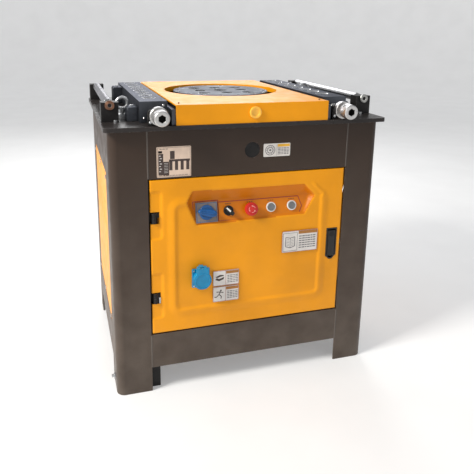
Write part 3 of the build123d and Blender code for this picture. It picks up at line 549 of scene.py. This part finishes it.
# The door's pressing, in millimetres across (x) and up (z); outlines run anticlockwise.
DOOR_X = 300
DOOR_Z = (DOOR_LOW.z / MM, DOOR_HIGH.z / MM)
FIELD = (-223, 223, 266, 583, 12)  # x, x, z, z and corner radius of the flat middle
RIDGE = 3.6
HINGE_PADS = (242.5, 491)
HINGE_SLOTS = (305.5, 554)
CHEVRON = ((255, 371), (268, 362), (285, 371))
CONTROLS = [67 * i for i in range(-2, 3)]
INLET = (-155, 360)
LATCH = (270, 422)
RECESS = [(-178, 626), (-196, 593), (-165, 521), (174, 529), (206, 586), (170, 623.5)]
LATCH_SHAPE = [(-16, 50), (16, 50), (16, -37), (3, -50), (-5, -50), (-16, -40)]


def inside_outline(x, z, points):
    """How far a point is inside a convex outline given anticlockwise, negative outside it."""
    nearest = 1e9
    for (ax, az), (bx, bz) in zip(points, points[1:] + points[:1]):
        reach = math.hypot(bx - ax, bz - az)
        nearest = min(nearest, ((bx - ax) * (z - az) - (bz - az) * (x - ax)) / reach)
    return nearest


def inside_box(x, z, x0, x1, z0, z1, radius):
    mx, mz, hx, hz = (x0 + x1) / 2, (z0 + z1) / 2, (x1 - x0) / 2, (z1 - z0) / 2
    dx, dz = abs(x - mx) - hx + radius, abs(z - mz) - hz + radius
    return radius - math.hypot(max(dx, 0), max(dz, 0)) - min(max(dx, dz), 0)


def smooth(t):
    t = min(1, max(0, t))
    return t * t * (3 - 2 * t)


def door_depth(x, z):
    """How far the door's skin is behind the posts' face, in millimetres: negative where it is raised."""
    away = -inside_box(x, z, *FIELD)
    if inside_outline(x, z, RECESS) > -26 and x > 150:
        away = min(away, -inside_outline(x, z, RECESS) - 17)
    depth = -RIDGE * smooth(away / 6) * (1 - smooth((away - 9) / 24)) * (1 - smooth((z - 618) / 14))
    for low in HINGE_PADS:
        depth += 3 * smooth((inside_box(x, z, -330, -267, low, low + 141, 9) + 1) / 3)
    for a, b in zip(CHEVRON, CHEVRON[1:]):
        dx, dz = b[0] - a[0], b[1] - a[1]
        t = max(0, min(1, ((x - a[0]) * dx + (z - a[1]) * dz) / (dx ** 2 + dz ** 2)))
        away = math.hypot(x - a[0] - t * dx, z - a[1] - t * dz)
        depth -= 1.3 * smooth(1 - away / 4)
    reach = inside_outline(x, z, RECESS)
    if reach > 0:
        groove = 3 + (z - 518) * 17 / 72 if z < 590 else (630 - z) / 2
        depth = max(depth, min(groove, depth + 1.6 * reach))
    edge = min(x + DOOR_X, DOOR_X - x, z - DOOR_Z[0], DOOR_Z[1] - z)
    if edge < 3:
        depth += 3 - math.sqrt(max(0, 9 - (3 - edge) ** 2))
    return depth


def grid_lines(low, high, step, exact):
    """Even lines, with exact ones put in and closer ones along both turned edges."""
    count = round((high - low) / step)
    lines = [low + (high - low) * i / count for i in range(count + 1)]
    close = (0, 0.3, 1.0, 2.0, 3)
    wanted = sorted(set(exact) | {low + c for c in close} | {high - c for c in close})
    return sorted([v for v in lines if min(abs(v - w) for w in wanted) > step * 0.4] + wanted)


def cut_away(x, z):
    """True where the door is open: controls, latch, inlet and hinges."""
    up = (z - PANEL_MID.z / MM) / PANEL_UP.z
    if any(math.hypot(x - across, up) < 12.6 for across in CONTROLS):
        return True
    across, up = x - LATCH[0], z - LATCH[1]
    if abs(across) < 15.9 and abs(up) < 49.9 and inside_outline(across, up, LATCH_SHAPE[::-1]) > 0:
        return True
    if math.hypot(x - INLET[0], z - INLET[1]) < 21.5:
        return True
    return x < -274 and min(abs(z - slot) for slot in HINGE_SLOTS) < 18


def door_skin():
    """The pressed door as one sheet.

    A low ridge runs round its flat field; hinge pads, the control recess and turned edges are pressed too.
    """
    xs = grid_lines(-DOOR_X, DOOR_X, 3, {-274, -267, -229, -223, 223, 229, 254, 286})
    zs = grid_lines(*DOOR_Z, 3, {260, 266, 287.5, 323.5, 372, 472, 536, 572, 583, 590})
    depth = [[door_depth(x, z) for z in zs] for x in xs]
    for _ in range(2):
        old = [row[:] for row in depth]
        for i in range(1, len(xs) - 1):
            for k in range(1, len(zs) - 1):
                around = old[i - 1][k] + old[i + 1][k] + old[i][k - 1] + old[i][k + 1]
                if min(xs[i] - xs[i - 1], zs[k] - zs[k - 1], xs[i + 1] - xs[i], zs[k + 1] - zs[k]) > 1.1:
                    depth[i][k] = (old[i][k] * 4 + around) / 8
    bm = bmesh.new()
    points = []
    for i, x in enumerate(xs):
        points.append([bm.verts.new((x * MM, FRONT + depth[i][k] * MM, z * MM)) for k, z in enumerate(zs)])
    for i in range(len(xs) - 1):
        for k in range(len(zs) - 1):
            if not cut_away((xs[i] + xs[i + 1]) / 2, (zs[k] + zs[k + 1]) / 2):
                corners = (points[i][k], points[i + 1][k], points[i + 1][k + 1], points[i][k + 1])
                face = bm.faces.new(corners)
                mid = face.calc_center_median() / MM
                # faces inside the control recess take the darker orange second material: painted shade
                face.material_index = int(inside_outline(mid.x, mid.z, RECESS) > 0)

    def on_rim(v):
        x, z = v.co.x / MM, v.co.z / MM
        return min(abs(abs(x) - DOOR_X), *(abs(z - edge) for edge in DOOR_Z)) < 0.01

    rim = [e for e in bm.edges if e.is_boundary and all(on_rim(v) for v in e.verts)]
    turned_back = bmesh.ops.extrude_edge_only(bm, edges=rim)["geom"]
    for v in turned_back:
        if isinstance(v, bmesh.types.BMVert):
            v.co.y = FRONT + 11.5 * MM
    bmesh.ops.delete(bm, geom=[v for v in bm.verts if not v.link_faces], context="VERTS")
    carrier = placed("carrier", as_mesh("door_skin", bm))
    sheet = carrier.modifiers.new("sheet", "SOLIDIFY")
    sheet.thickness = 2.0 * MM
    sheet.offset = -1
    done = evaluated(carrier)
    shade(done, math.radians(50))
    made = piece("door_skin", done, "yellow_paint", "door")
    done.materials.append(MATERIALS["recess_paint"])
    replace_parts(made, "door_panel", "control_tray")


def weld_bead(name, start, end, out):
    """A rippled bead along a joint, laid on the face that looks towards out."""
    start, end, out = Vector(start), Vector(end), Vector(out)
    along = (end - start).normalized()
    side = along.cross(out)
    length = (end - start).length
    count = int(length / (2.2 * MM))
    bm = bmesh.new()
    rows = []
    for i in range(count + 1):
        ripple = 0.75 + 0.25 * abs(math.sin(i * math.pi / 3))
        centre = start + along * length * i / count
        row = []
        for k in range(7):
            a = math.pi * k / 6
            lift = out * (0.9 * MM * ripple * math.sin(a))
            row.append(bm.verts.new(centre + side * (2.2 * MM * math.cos(a)) + lift))
        rows.append(row)
    for one, other in zip(rows, rows[1:]):
        for k in range(6):
            bm.faces.new((one[k], one[k + 1], other[k + 1], other[k]))
    # the beads' lighter paint is a painted highlight
    return piece(name, to_mesh(name, bm), "weld_metal", "frame")


def welds():
    """Beads up the front face where the front rails meet the posts, below and above the door."""
    rails_low, rails_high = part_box("front_rails")
    spans = ((rails_low[2], DOOR_LOW.z - 4 * MM), (DOOR_HIGH.z + 3 * MM, rails_high[2]))
    for s, side in ((-1, "left"), (1, "right")):
        for low, high in spans:
            name = f"weld_{side}_{'low' if low < 0.4 else 'high'}"
            x = rails_high[0] * s
            weld_bead(name, (x, FRONT, low + 2 * MM), (x, FRONT, high - 2 * MM), (0, -1, 0))


# ---- table fittings -------------------------------------------------------------------------
def table_fittings():
    soften("roller_brackets", "black_steel", 1.5, 3)
    soften("screw_bearings", "black_steel", 1.2, 3)
    soften("strip_guides", "dark_steel", 1.0)
    soften("lifting_eyes", "zinc_steel", 0.5)
    soften("frame_screws", "zinc_steel", 0.5)
    plugs()
    for side in ("left", "right"):
        soften(side + "_strip", "dark_steel", 1.0)
        soften(side + "_roller", "bright_steel", 0.8)
        adjusting_screw(side)
    soften("work_disc", "disc_steel", 0.5)
    bright_holes()
    deck_screws()
    roller_ends()


def plugs():
    """The ribbed yellow plug in the cover's apron and the black cap in the top rail."""
    low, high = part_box("hole_plugs")
    x = (low.x + high.x) / 2
    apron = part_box("table_cover")[0].y
    ring = [(0, 3.0), (9.6, 3.0), (10.6, 3.4), (11.4, 5.6), (15.6, 6.0), (17, 5.0), (17, 0)]
    ring += [(12, 0), (12, -6.5), (0, -6.5)]
    made = turned_piece("apron_plug", ring, "yellow_plastic", facing_front(x, apron, 0.850), "frame", 64)
    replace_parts(made, "hole_plugs")
    face = FRONT + 1 * MM
    cap = [(0, -1.5), (17, -1.2), (20.5, -0.4), (22, 0), (22.8, -0.6), (22.8, -4)]
    cap += [(26, -4.2), (26, -6), (0, -6)]
    made = turned_piece("rail_plug", cap, "dark_hole", facing_front(x, face, 0.738), "frame", 64)
    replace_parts(made, "hole_plugs")


def six_sided(angle, radius):
    """The radius of a hexagon whose flats are at a radius."""
    return radius / math.cos((angle + math.pi / 6) % (math.pi / 3) - math.pi / 6)


def adjusting_screw(side):
    """The knurled head with its hexagon socket, the collar, and the shank's thread."""
    low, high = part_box(side + "_screw")
    x, z = (low[0] + high[0]) / 2, (low[2] + high[2]) / 2
    back = Matrix.Translation((x, low[1], z)) @ Matrix.Rotation(-math.pi / 2, 4, "X")
    body = side + "_screw"
    head_r, hex_r, shank_r, root_r = 21.5, 9.5, 11.9, 10.2

    def shaped(angle, radius, height):
        """The hexagon inside its radius, and the knurl on the head."""
        if radius <= hex_r + 0.1:
            return six_sided(angle, radius)
        knurled = radius > head_r - 0.4 and 9 < height < 31
        return radius - (0.55 * abs(math.sin(angle * 36)) if knurled else 0)

    profile = [(0.5, 19), (hex_r, 18.9), (hex_r, 1.0), (hex_r + 1.6, 0)]
    profile += [(head_r - 3, 0), (head_r - 0.6, 2), (head_r - 0.5, 8), (head_r, 9.2)]
    profile += [(head_r, h) for h in (12, 16, 20, 24, 28, 30.8)]
    profile += [(head_r - 0.6, 31.5), (head_r - 0.8, 34), (head_r - 2, 35)]
    profile += [(shank_r, 35), (shank_r, 46), (24, 46), (25, 47)]
    profile += [(25, 60.6), (24, 61.6), (shank_r, 61.6)]
    profile += [(shank_r, 78.4), (16.2, 78.4), (17, 79), (17, 82.4), (16.2, 83), (shank_r, 83)]
    thread = ((shank_r, 0.4), (shank_r, 1.2), (root_r, 2.6), (root_r, 3.4))
    for crest in range(84, 149, 5):
        profile += [(radius, crest + along) for radius, along in thread]
    profile += [(11.0, 150), (9.5, 151)]
    mesh = to_mesh(body, lathe(profile, 144, shaped), back)
    made = piece(body + "_turned", mesh, "satin_steel", body)
    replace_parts(made, body)
    # a near-black lining just inside the hexagon socket: painted shade
    lining = [(hex_r - 0.15, 1.6), (hex_r - 0.15, 18.7), (0.5, 18.7)]
    piece(body + "_socket", to_mesh(body, lathe(lining, 72, shaped, "end"), back), "dark_hole", body)


def roller_ends():
    """The bearing cap that shows at each roller's front end."""
    for side, material in (("left", "bronze"), ("right", "gear_steel")):
        low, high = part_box(side + "_roller")
        centre = (low + high) / 2
        cap = [(5.2, -9), (5.2, -0.6), (6.0, 0.3), (8.8, 0.6), (9.4, 0.1), (10.6, 0.1)]
        cap += [(11.4, 0.6), (12.7, 0.2), (13.3, -0.6), (13.3, -4.6)]
        # the near-black disc filling the cap's bore: painted shade
        bore = [(0, -1), (5.1, -1), (5.1, 0.2), (0, 0.2)]
        place = facing_front(centre.x, low.y, high.z - 13 * MM)
        turned_piece(side + "_roller_cap", cap, material, place, side + "_roller")
        turned_piece(side + "_roller_centre", bore, "dark_hole", place, side + "_roller")


def bright_holes():
    """The bright machined chamfers round the stop holes and round the disc's holes."""
    cone = [(16.9, -3.1), (20.2, 0.08), (19.4, 0.12), (16.6, -3.0), (16.9, -3.1)]
    for side in ("left", "right"):
        low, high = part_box(side + "_strip")
        x = (low.x + high.x) / 2
        for i in range(8):
            place = Matrix.Translation((x, low.y + (87 + 64 * i) * MM, high.z))
            name = f"{side}_strip_chamfer_{i + 1}"
            turned_piece(name, cone, "chamfer_steel", place, side + "_strip", 40, "none")
    top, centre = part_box("work_disc")[1].z, middle("work_disc")
    rings = [(23, 0, 0)]
    rings += [(20, 72, 90 * i) for i in range(4)] + [(20, 105, 90 * i + 45) for i in range(4)]
    rings += [(6, 146, 6.5 + 22.5 * i) for i in range(16)]
    for i, (radius, reach, angle) in enumerate(rings):
        place = Matrix.Translation((*round_point(reach * MM, math.radians(angle), centre), top))
        rim = radius + (0.9 if radius > 10 else 2.6)
        cone = [(radius - 0.05, -1.6), (rim, 0.06), (rim + 0.5, 0.02), (radius - 0.3, -1.8)]
        turned_piece(f"disc_chamfer_{i + 1}", cone + cone[:1], "chamfer_steel", place, "disc", 32, "none")


def small_screw(name, place, radius, body, material="zinc_steel"):
    """A cap screw's head with its hexagon socket."""
    def shaped(angle, r, height):
        return r if r > radius * 0.56 else six_sided(angle, r)

    h, socket = radius * 0.9, radius * 0.5
    profile = [(0.02, h * 0.35), (socket, h * 0.3), (socket, h), (radius * 0.86, h)]
    profile += [(radius, h * 0.85), (radius, 0), (0.02, 0)]
    bm = lathe(profile, 36, shaped)
    return piece(name, to_mesh(name, bm, place), material, body)


def deck_screws():
    """Small screws: two on each strip's front end, one on the cover, two on each bearing bracket."""
    for side, s in (("left", -1), ("right", 1)):
        low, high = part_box(side + "_strip")
        for n, (x, z) in enumerate(((-s * 27, 48), (s * 27, 14))):
            place = facing_front((low.x + high.x) / 2 + x * MM, low.y, low.z + z * MM)
            small_screw(f"{side}_strip_screw_{n + 1}", place, 3.2, side + "_strip", "chamfer_steel")
        low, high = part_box(side + "_screw")
        bracket_front = FRONT - 8 * MM
        for n, x in enumerate((-22, 22)):
            place = facing_front((low.x + high.x) / 2 + x * MM, bracket_front, high.z - 43 * MM)
            small_screw(f"{side}_bracket_screw_{n + 1}", place, 3.6, "frame")
    low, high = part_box("table_cover")
    for n, x in enumerate((low.x + 14 * MM, high.x - 14 * MM)):
        place = Matrix.Translation((x, low.y + 34 * MM, high.z))
        small_screw(f"cover_screw_{n + 1}", place, 2.6, "frame", "black_steel")


# ---- door fittings --------------------------------------------------------------------------
def door_fittings():
    soften("door_hinges", "black_steel", 0.5)
    soften("latch_tongue", "zinc_steel", 0.8)
    soften("socket_body", "flap_plastic", 1.5, 3)
    soften("socket_flap", "flap_plastic", 2.2, 4)
    flap_ribs()
    latch()
    switch_bezels()
    controls()
    control_plate()


def flap_ribs():
    """Grip ribs and the raised rim of the inlet's lid, and the flange's four screws."""
    low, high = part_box("socket_flap")
    centre_x, front = (low.x + high.x) / 2, low.y
    place = facing_front(centre_x, front, low.z + 27 * MM)
    rim = [(20, -0.5), (20, 0.9), (21, 1.4), (23, 1.4), (24, 0.9), (24, -0.5)]
    turned_piece("flap_rim", rim, "flap_plastic", place, "socket_flap", 56)

    def ribs(bm):
        for i in range(-3, 4):
            stroke(bm, (i * 3.6, -25.5), (i * 3.6, -20.5), 1.3, -0.5, 1.6)

    drawn("flap_ribs", ribs, "flap_plastic", place, "socket_flap")
    low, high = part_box("socket_body")
    for i, (x, z) in enumerate(((-21.5, -24), (21.5, -24), (-21.5, 24), (21.5, 24))):
        place = facing_front(centre_x + x * MM, DOOR_LOW.y - 6 * MM, low.z + (29 + z) * MM)
        small_screw(f"flange_screw_{i + 1}", place, 2.4, "door")


def bevelled(name, shape, z0, z1, material, place, body, width=1.0):
    """A flat shape with rounded edges, stood on a place."""
    bm = bmesh.new()
    slab(bm, shape, z0, z1)
    bm.transform(place)
    bmesh.ops.recalc_face_normals(bm, faces=bm.faces)
    return piece(name, rounded(as_mesh(name, bm), width * MM, 3), material, body)


def latch():
    """The flush latch: a frame with a pointed foot, a well, and the lift-out lever."""
    x, z = middle("latch_housing").x, middle("latch_housing").z
    place = facing_front(x, FRONT, z)

    def frame_shape(bm):
        rings = ((0.84, 0.95, -16), (0.86, 0.96, 1.6), (1, 1, 2.0), (1.12, 1.04, 1.6), (1.12, 1.04, 0.2))
        rings += ((1, 1, 0.2), (1, 1, -18))
        loops = []
        for wide, tall, out in rings:
            loops.append([bm.verts.new((px * wide * MM, py * tall * MM, out * MM)) for px, py in LATCH_SHAPE])
        for one, other in zip(loops, loops[1:]):
            for i in range(len(one)):
                bm.faces.new((one[i - 1], one[i], other[i], other[i - 1]))
        bm.faces.new(loops[0])
        bm.faces.new(loops[-1])

    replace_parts(drawn("latch_case", frame_shape, "black_plastic", place, "door"), "latch_housing")
    lever = [(-12, 44), (12, 44), (12, -33), (3, -42), (-4, -42), (-12, -34)]
    made = bevelled("latch_paddle", lever, -2, 2.6, "black_plastic", place, "latch_lever", 1.2)
    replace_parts(made, "latch_lever")

    def grip(bm):
        for i in range(5):
            stroke(bm, (-8, 38 - 3.2 * i), (8, 38 - 3.2 * i), 1.4, 2.2, 3.4)

    drawn("latch_grip", grip, "black_plastic", place, "latch_lever")
    low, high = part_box("latch_lever")
    pin = [(0, -12.6), (3.9, -12.6), (4.4, -12), (4.4, 12), (3.9, 12.6), (0, 12.6)]
    turn = Matrix.Translation((x, FRONT + 2.5 * MM, z - 38 * MM)) @ Matrix.Rotation(math.pi / 2, 4, "Y")
    turned_piece("latch_pin", pin, "black_plastic", turn, "latch_lever", 32)


def switch_bezels():
    """The fixed halves of the controls: the grey plate of the main switch and four bezels."""
    materials = ["switch_plate", "black_plastic", "red_plastic", "white_plastic", "white_plastic"]
    soften_each("switch_bodies", materials, [1.4, 0.8, 0.8, 1.4, 1.4])
    x = joint("main_switch_turn")["pos_m"][0]

    def plate_marks(bm):
        outline(bm, [(-30, -27), (30, -27), (30, 27), (-30, 27)], 1.0, 4.0, 4.3)
        for angle in (math.radians(78), math.radians(168)):
            stroke(bm, round_point(23.5, angle), round_point(27, angle), 1.6, 4.0, 4.3)

    drawn("switch_plate_marks", plate_marks, "blue_plastic", panel_place(x), "door")


def controls():
    """Handles and caps that the operator turns and presses."""
    x = joint("main_switch_turn")["pos_m"][0]
    handle = []
    for i in range(40):
        a = 2 * math.pi * i / 40
        c, d = math.cos(a), math.sin(a)
        along = 28.5 * math.copysign(abs(c) ** 0.8, c)
        handle.append((along, 11 * math.copysign(abs(d) ** 0.85, d) * (1 + 0.18 * c)))
    turned_to = panel_place(x) @ Matrix.Rotation(math.radians(-12), 4, "Z")
    made = bevelled("switch_handle", handle, 8, 22, "blue_plastic", turned_to, "main_switch", 4.6)
    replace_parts(made, "main_switch")
    base = [(0, 4.4), (20.5, 4.4), (22, 5.2), (22, 8.0), (20.5, 9.6), (0, 10.4)]
    made = turned_piece("switch_rotor", base, "blue_plastic", panel_place(x), "main_switch", 56)
    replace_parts(made, "main_switch")
    rib = [(-24, -2.2), (20, -3), (20, 3), (-24, 2.2)]
    made = bevelled("switch_rib", rib, 20, 24, "blue_plastic", turned_to, "main_switch", 1.4)
    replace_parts(made, "main_switch")

    x = joint("selector_turn")["pos_m"][0]
    cap = [(0, -20), (10.6, -20), (10.6, 5.6), (10.0, 7.0), (0, 7.2)]
    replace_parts(turned_piece("selector_cap", cap, "black_plastic", panel_place(x), "selector"), "selector")
    turned_to = panel_place(x) @ Matrix.Rotation(math.radians(45), 4, "Z")
    bar = [(-5.6, -15), (-4, -16.5), (4, -16.5), (5.6, -15), (5.0, 13), (3, 15), (-3, 15), (-5.0, 13)]
    made = bevelled("selector_bar", bar, 5.5, 18.5, "black_plastic", turned_to, "selector", 1.2)
    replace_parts(made, "selector")

    def pointer(bm):
        stroke(bm, (0, -3), (0, 13.5), 4.6, 18.2, 18.9)

    drawn("selector_pointer", pointer, "white_plastic", turned_to, "selector")

    x = middle("e_stop").x
    cap = [(0, -20), (10.8, -20), (10.8, 11.5), (19.2, 12), (20, 13.2), (20, 18.5), (18.8, 21.2)]
    cap += [(16.2, 22.8), (14.6, 22.9), (14.0, 22.2), (13.2, 22.2), (12.6, 23.2), (8, 23.8), (0, 24)]
    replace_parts(turned_piece("mushroom", cap, "red_plastic", panel_place(x), "e_stop", 64), "e_stop")

    def arrows(bm):
        for start in (20, 140, 260):
            steps = [math.radians(start + 12 * i) for i in range(6)]
            for a, b in zip(steps, steps[1:]):
                stroke(bm, round_point(9.6, a), round_point(9.6, b), 1.7, 23.0, 23.9)
            a = steps[-1]
            head = [round_point(7.0, a), round_point(12.2, a), round_point(9.6, a + 0.42)]
            slab(bm, head, 23.0, 23.9)

    drawn("mushroom_arrows", arrows, "label_rose", panel_place(x), "e_stop")
    for name in ("inner_button", "outer_button"):
        place = panel_place(middle(name).x)
        cap = [(0, -20), (10.8, -20), (10.8, 5.4), (10.2, 6.6), (8.6, 6.9), (8.0, 6.4), (0, 6.1)]
        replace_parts(turned_piece(name + "_cap", cap, "button_plastic", place, name), name)


def control_plate():
    """The printed outline round the controls and the small marks above them."""
    place = panel_place(0)
    plates = {"control": [(-98, -29), (156, -29), (168, -4), (157, 27), (-98, 27)],
              "switch": [(-173, -33), (-98, -33), (-98, 33), (-173, 33)]}
    for name, shape in plates.items():
        drawn(name + "_outline", lambda bm: outline(bm, shape, 2.3, 0.1, 0.45), "label_red", place, "door")

    def marks(bm):
        for x in (-67, 0, 67, 134):
            for dx in (-7, 0, 7):
                patch(bm, x + dx - 2, 19.5, x + dx + 2, 21.2, 0.1, 0.45)

    drawn("control_marks", marks, "label_ink", place, "door")


# ---- inside ---------------------------------------------------------------------------------
def inside():
    for node in ("shaft_bearings", "main_shaft", "output_gear", "second_shaft", "second_gear",
                 "first_shaft", "first_gear", "input_shaft", "motor_rotor"):
        dress(node, "gear_steel")
    for node in ("large_pulley", "small_pulley", "gear_case", "gear_case_lid"):
        dress(node, "cast_iron")
    dress("motor_shell", "motor_paint")
    dress("motor_mount", "black_steel")
    dress("v_belts", "belt_rubber")
    soften("electrical_plate", "zinc_steel", 0.5)
    soften("control_gear", "grey_plastic", 1.5)
    soften("cable_gland", "black_plastic", 0.6)


# ---- labels ---------------------------------------------------------------------------------
def words(bm, x0, x1, top, lines, pitch=4.4, height=2.0):
    """Lines of print, too small to read, as rows of short dashes."""
    for line in range(lines):
        x, y = x0, top - pitch * line
        while x < x1 - 6:
            wide = 4.5 + 5 * abs(math.sin(3.1 * line + 0.7 * x))
            patch(bm, x, y - height, min(x + wide, x1), y)
            x += wide + 1.8


def label(name, x0, x1, z0, z1, face, film, body, drawings):
    """A film with prints on it. Drawings are (material, function of a bmesh), measured from its middle."""
    place = facing_front((x0 + x1) / 2, face, (z0 + z1) / 2)
    w, h = (x1 - x0) / 2 / MM, (z1 - z0) / 2 / MM
    cut = 2
    shape = [(-w + cut, -h), (w - cut, -h), (w, -h + cut), (w, h - cut)]
    shape += [(w - cut, h), (-w + cut, h), (-w, h - cut), (-w, -h + cut)]
    made = drawn(name, lambda bm: slab(bm, shape, 0, 0.35), film, place, body)
    on_film = place @ Matrix.Translation((0, 0, 0.33 * MM))
    for i, (material, draw) in enumerate(drawings):
        drawn(f"{name}_print_{i + 1}", draw, material, on_film, body)
    return made


def border(bm, x, y, width):
    outline(bm, [(-x, -y), (x, -y), (x, y), (-x, y)], width)


def table_print(bm):
    """The bending table of the data plate: dark columns of cells."""
    border(bm, 46, 41, 0.8)
    patch(bm, -44, -37, -30, 24)
    for i in range(4):
        patch(bm, -44, 26 - 0.2 * i, -36 + 3 * (i % 2), 28 + 1.4 * i)
    patch(bm, -30, -38, -14, 1)
    patch(bm, -11, 8, 2, 31)
    patch(bm, -14, 1, 45, 7)
    for x, low in ((-9, -24), (7, -24), (23, -24), (39, -24)):
        patch(bm, x - 4.4, low, x + 4.4, 2)
    words(bm, -40, -12, 38, 1, 4, 1.6)
    words(bm, -42, 40, -38, 1, 4, 1.2)


def data_marks(bm):
    for i in range(7):
        patch(bm, -42 + 2 * (i % 2), 17 - 7.4 * i, -37 + 3 * (i % 2), 19 - 7.4 * i, 0, 0.2)
        patch(bm, -28, -4 - 4.4 * i, -17, -3.2 - 4.4 * i, 0, 0.2)


def disc_icon(bm):
    centre = (-21, 0)
    for i in range(28):
        p, q = 2 * math.pi * i / 28, 2 * math.pi * (i + 1) / 28
        for radius in (14.5, 8.5):
            stroke(bm, round_point(radius, p, centre), round_point(radius, q, centre), 1.9)
    for i in range(10):
        slab(bm, disc_shape(1.1, 10, round_point(11, 2 * math.pi * i / 10, centre)), 0, 0.12)
    slab(bm, disc_shape(3.2, 16, centre), 0, 0.12)
    patch(bm, -0.6, -17, 0.2, 17)


def hand_icon(bm):
    slab(bm, [(-34, -4), (-22, -9), (-8, -4), (-6, 3), (-13, 1), (-22, -2), (-30, 2)], 0, 0.12)
    slab(bm, [(-33, 5), (-20, 11), (-9, 10), (-7, 7), (-18, 5), (-28, 2)], 0, 0.12)


def figure_icon(bm):
    slab(bm, disc_shape(2.6, 16, (-16, 12)), 0, 0.12)
    limbs = (((-17, 9), (-22, -1)), ((-18, 7), (-8, 4)), ((-18, 7), (-30, 8)), ((-22, -1), (-14, -8)),
             ((-14, -8), (-16, -15)), ((-22, -1), (-30, -9)), ((-30, -9), (-36, -8)))
    for a, b in limbs:
        stroke(bm, a, b, 2.6)


def book_icon(bm):
    outline(bm, [(-55, -30), (-9, -30), (-9, 28), (-55, 28)], 1.2)
    for s in (-1, 1):
        for a, b in (((0, -20), (15, -15)), ((15, -15), (15, 15)), ((15, 15), (0, 12))):
            stroke(bm, (-32 + s * a[0], a[1]), (-32 + s * b[0], b[1]), 2.2)
        for i in range(5):
            stroke(bm, (-32 + s * 3, 7 - 5 * i), (-32 + s * 12, 9 - 5 * i), 1.0)
    stroke(bm, (-32, -20), (-32, 12), 1.4)


def labels():
    """Labels with pictures and unreadable print: none carries words or marks of a maker."""
    low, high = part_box("rail_labels")
    made = label("data_plate", low.x, low.x + 97 * MM, low.z, high.z, low.y + 0.35 * MM, "label_tan", "frame",
                 [("label_ink", table_print), ("label_film", data_marks)])
    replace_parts(made, "rail_labels")
    made = label("rail_label", high.x - 83.5 * MM, high.x, high.z - 45 * MM, high.z - 6 * MM,
                 low.y + 0.5 * MM, "label_film", "frame",
                 [("label_grey", disc_icon), ("label_amber", lambda bm: patch(bm, 2, 9, 40, 17)),
                  ("label_grey", lambda bm: words(bm, 3, 39, 6, 5))])
    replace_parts(made, "rail_labels")
    low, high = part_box("door_labels")
    face = low.y + 0.3 * MM
    for name, base, icon in (("hand_label", 52, hand_icon), ("slip_label", 0, figure_icon)):
        z0 = low.z + base * MM
        made = label(name, low.x, low.x + 81.5 * MM, z0, z0 + 49 * MM, face, "label_film", "door", [
            ("label_ink", icon), ("label_red", lambda bm: border(bm, 40, 23.5, 0.9)),
            ("label_brown", lambda bm: patch(bm, 0, 13, 39, 22)),
            ("label_grey", lambda bm: words(bm, 4, 37, 8, 5, 5.4, 2.4)),
            ("label_red", lambda bm: stroke(bm, (-1, -23), (-1, 23), 0.9))])
        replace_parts(made, "door_labels")
    x0, z0 = high.x - 118 * MM, high.z - 69.5 * MM
    made = label("book_label", x0, high.x, z0, high.z, face, "label_film", "door", [
        ("label_grey", book_icon), ("label_brown", lambda bm: patch(bm, -5, 23, 57, 33)),
        ("label_grey", lambda bm: words(bm, -3, 55, 17, 6, 7.4, 3.2)),
        ("label_red", lambda bm: border(bm, 58, 34, 1.0))])
    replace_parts(made, "door_labels")


# ---- setting --------------------------------------------------------------------------------
def floor():
    """A pale floor that curves up into a low wall all round."""
    sides = 72
    steps = [math.pi / 2 * i / 8 for i in range(9)]
    profile = [(8 + 2 * math.sin(a), 2 - 2 * math.cos(a)) for a in steps] + [(10, 4)]
    bm = bmesh.new()
    rings = []
    for r, z in profile:
        rings.append([bm.verts.new((*round_point(r, 2 * math.pi * k / sides), z)) for k in range(sides)])
    bm.faces.new(rings[0])
    for one, other in zip(rings, rings[1:]):
        for k in range(sides):
            bm.faces.new((one[k - 1], other[k - 1], other[k], one[k]))
    for face in bm.faces:
        face.smooth = True
    made = placed("floor", as_mesh("floor", bm))
    n = Nodes("floor_pale")
    tone = n.blend(n.span(n.noise(3, 3), 0.3, 0.7), (0.66, 0.66, 0.66), (0.70, 0.70, 0.70))
    n.bump(n.noise(200, 2), 0.05, 0.001)
    n.shader.inputs["Emission Color"].default_value = (1, 1, 1, 1)
    n.shader.inputs["Emission Strength"].default_value = 0.25
    made.data.materials.append(n.done(tone, n.span(n.noise(9), 0.3, 0.7, 0.55, 0.7)))


def area_light(name, place, target, size, power, colour=(1, 1, 1)):
    light = bpy.data.lights.new(name, "AREA")
    light.size = size
    light.energy = power
    light.color = colour
    lamp = placed(name, light)
    lamp.location = place
    lamp.rotation_euler = (Vector(target) - Vector(place)).to_track_quat("-Z", "Y").to_euler()


def lights():
    world = bpy.data.worlds.new("studio")
    world.use_nodes = True
    sky = world.node_tree.nodes["Background"]
    sky.inputs["Color"].default_value = (0.95, 0.97, 1.0, 1)
    sky.inputs["Strength"].default_value = 0.44
    bpy.context.scene.world = world
    bpy.context.scene.view_settings.view_transform = "Standard"
    area_light("key", (-3.0, -1.0, 2.9), (0, 0, 0.5), 1.0, 185, (1.0, 0.97, 0.92))
    area_light("fill", (1.6, -3.4, 1.6), (0, 0, 0.4), 2.5, 6)
    area_light("back", (0.5, 2.8, 2.6), (0, 0, 0.7), 2.0, 60)


def camera():
    """Above and to the left of the machine, at the operator's eye level."""
    yaw, pitch, roll = -0.2931, -0.2464, -0.0118
    turn = Matrix.Rotation(yaw, 3, "Z") @ Matrix.Rotation(pitch, 3, "X") @ Matrix.Rotation(roll, 3, "Y")
    right, forward, up = turn.col
    lens = bpy.data.cameras.new("camera")
    lens.sensor_width = 36
    lens.lens = 41.8
    lens.shift_x = 0.0235
    lens.shift_y = -0.1487
    made = placed("camera", lens)
    matrix = Matrix((right, up, -forward)).transposed().to_4x4()
    made.matrix_world = Matrix.Translation((-0.5217, FRONT - 1.4647, 1.0782)) @ matrix
    bpy.context.scene.camera = made


cabinet()
door_skin()
welds()
table_fittings()
door_fittings()
inside()
labels()
floor()
lights()
camera()
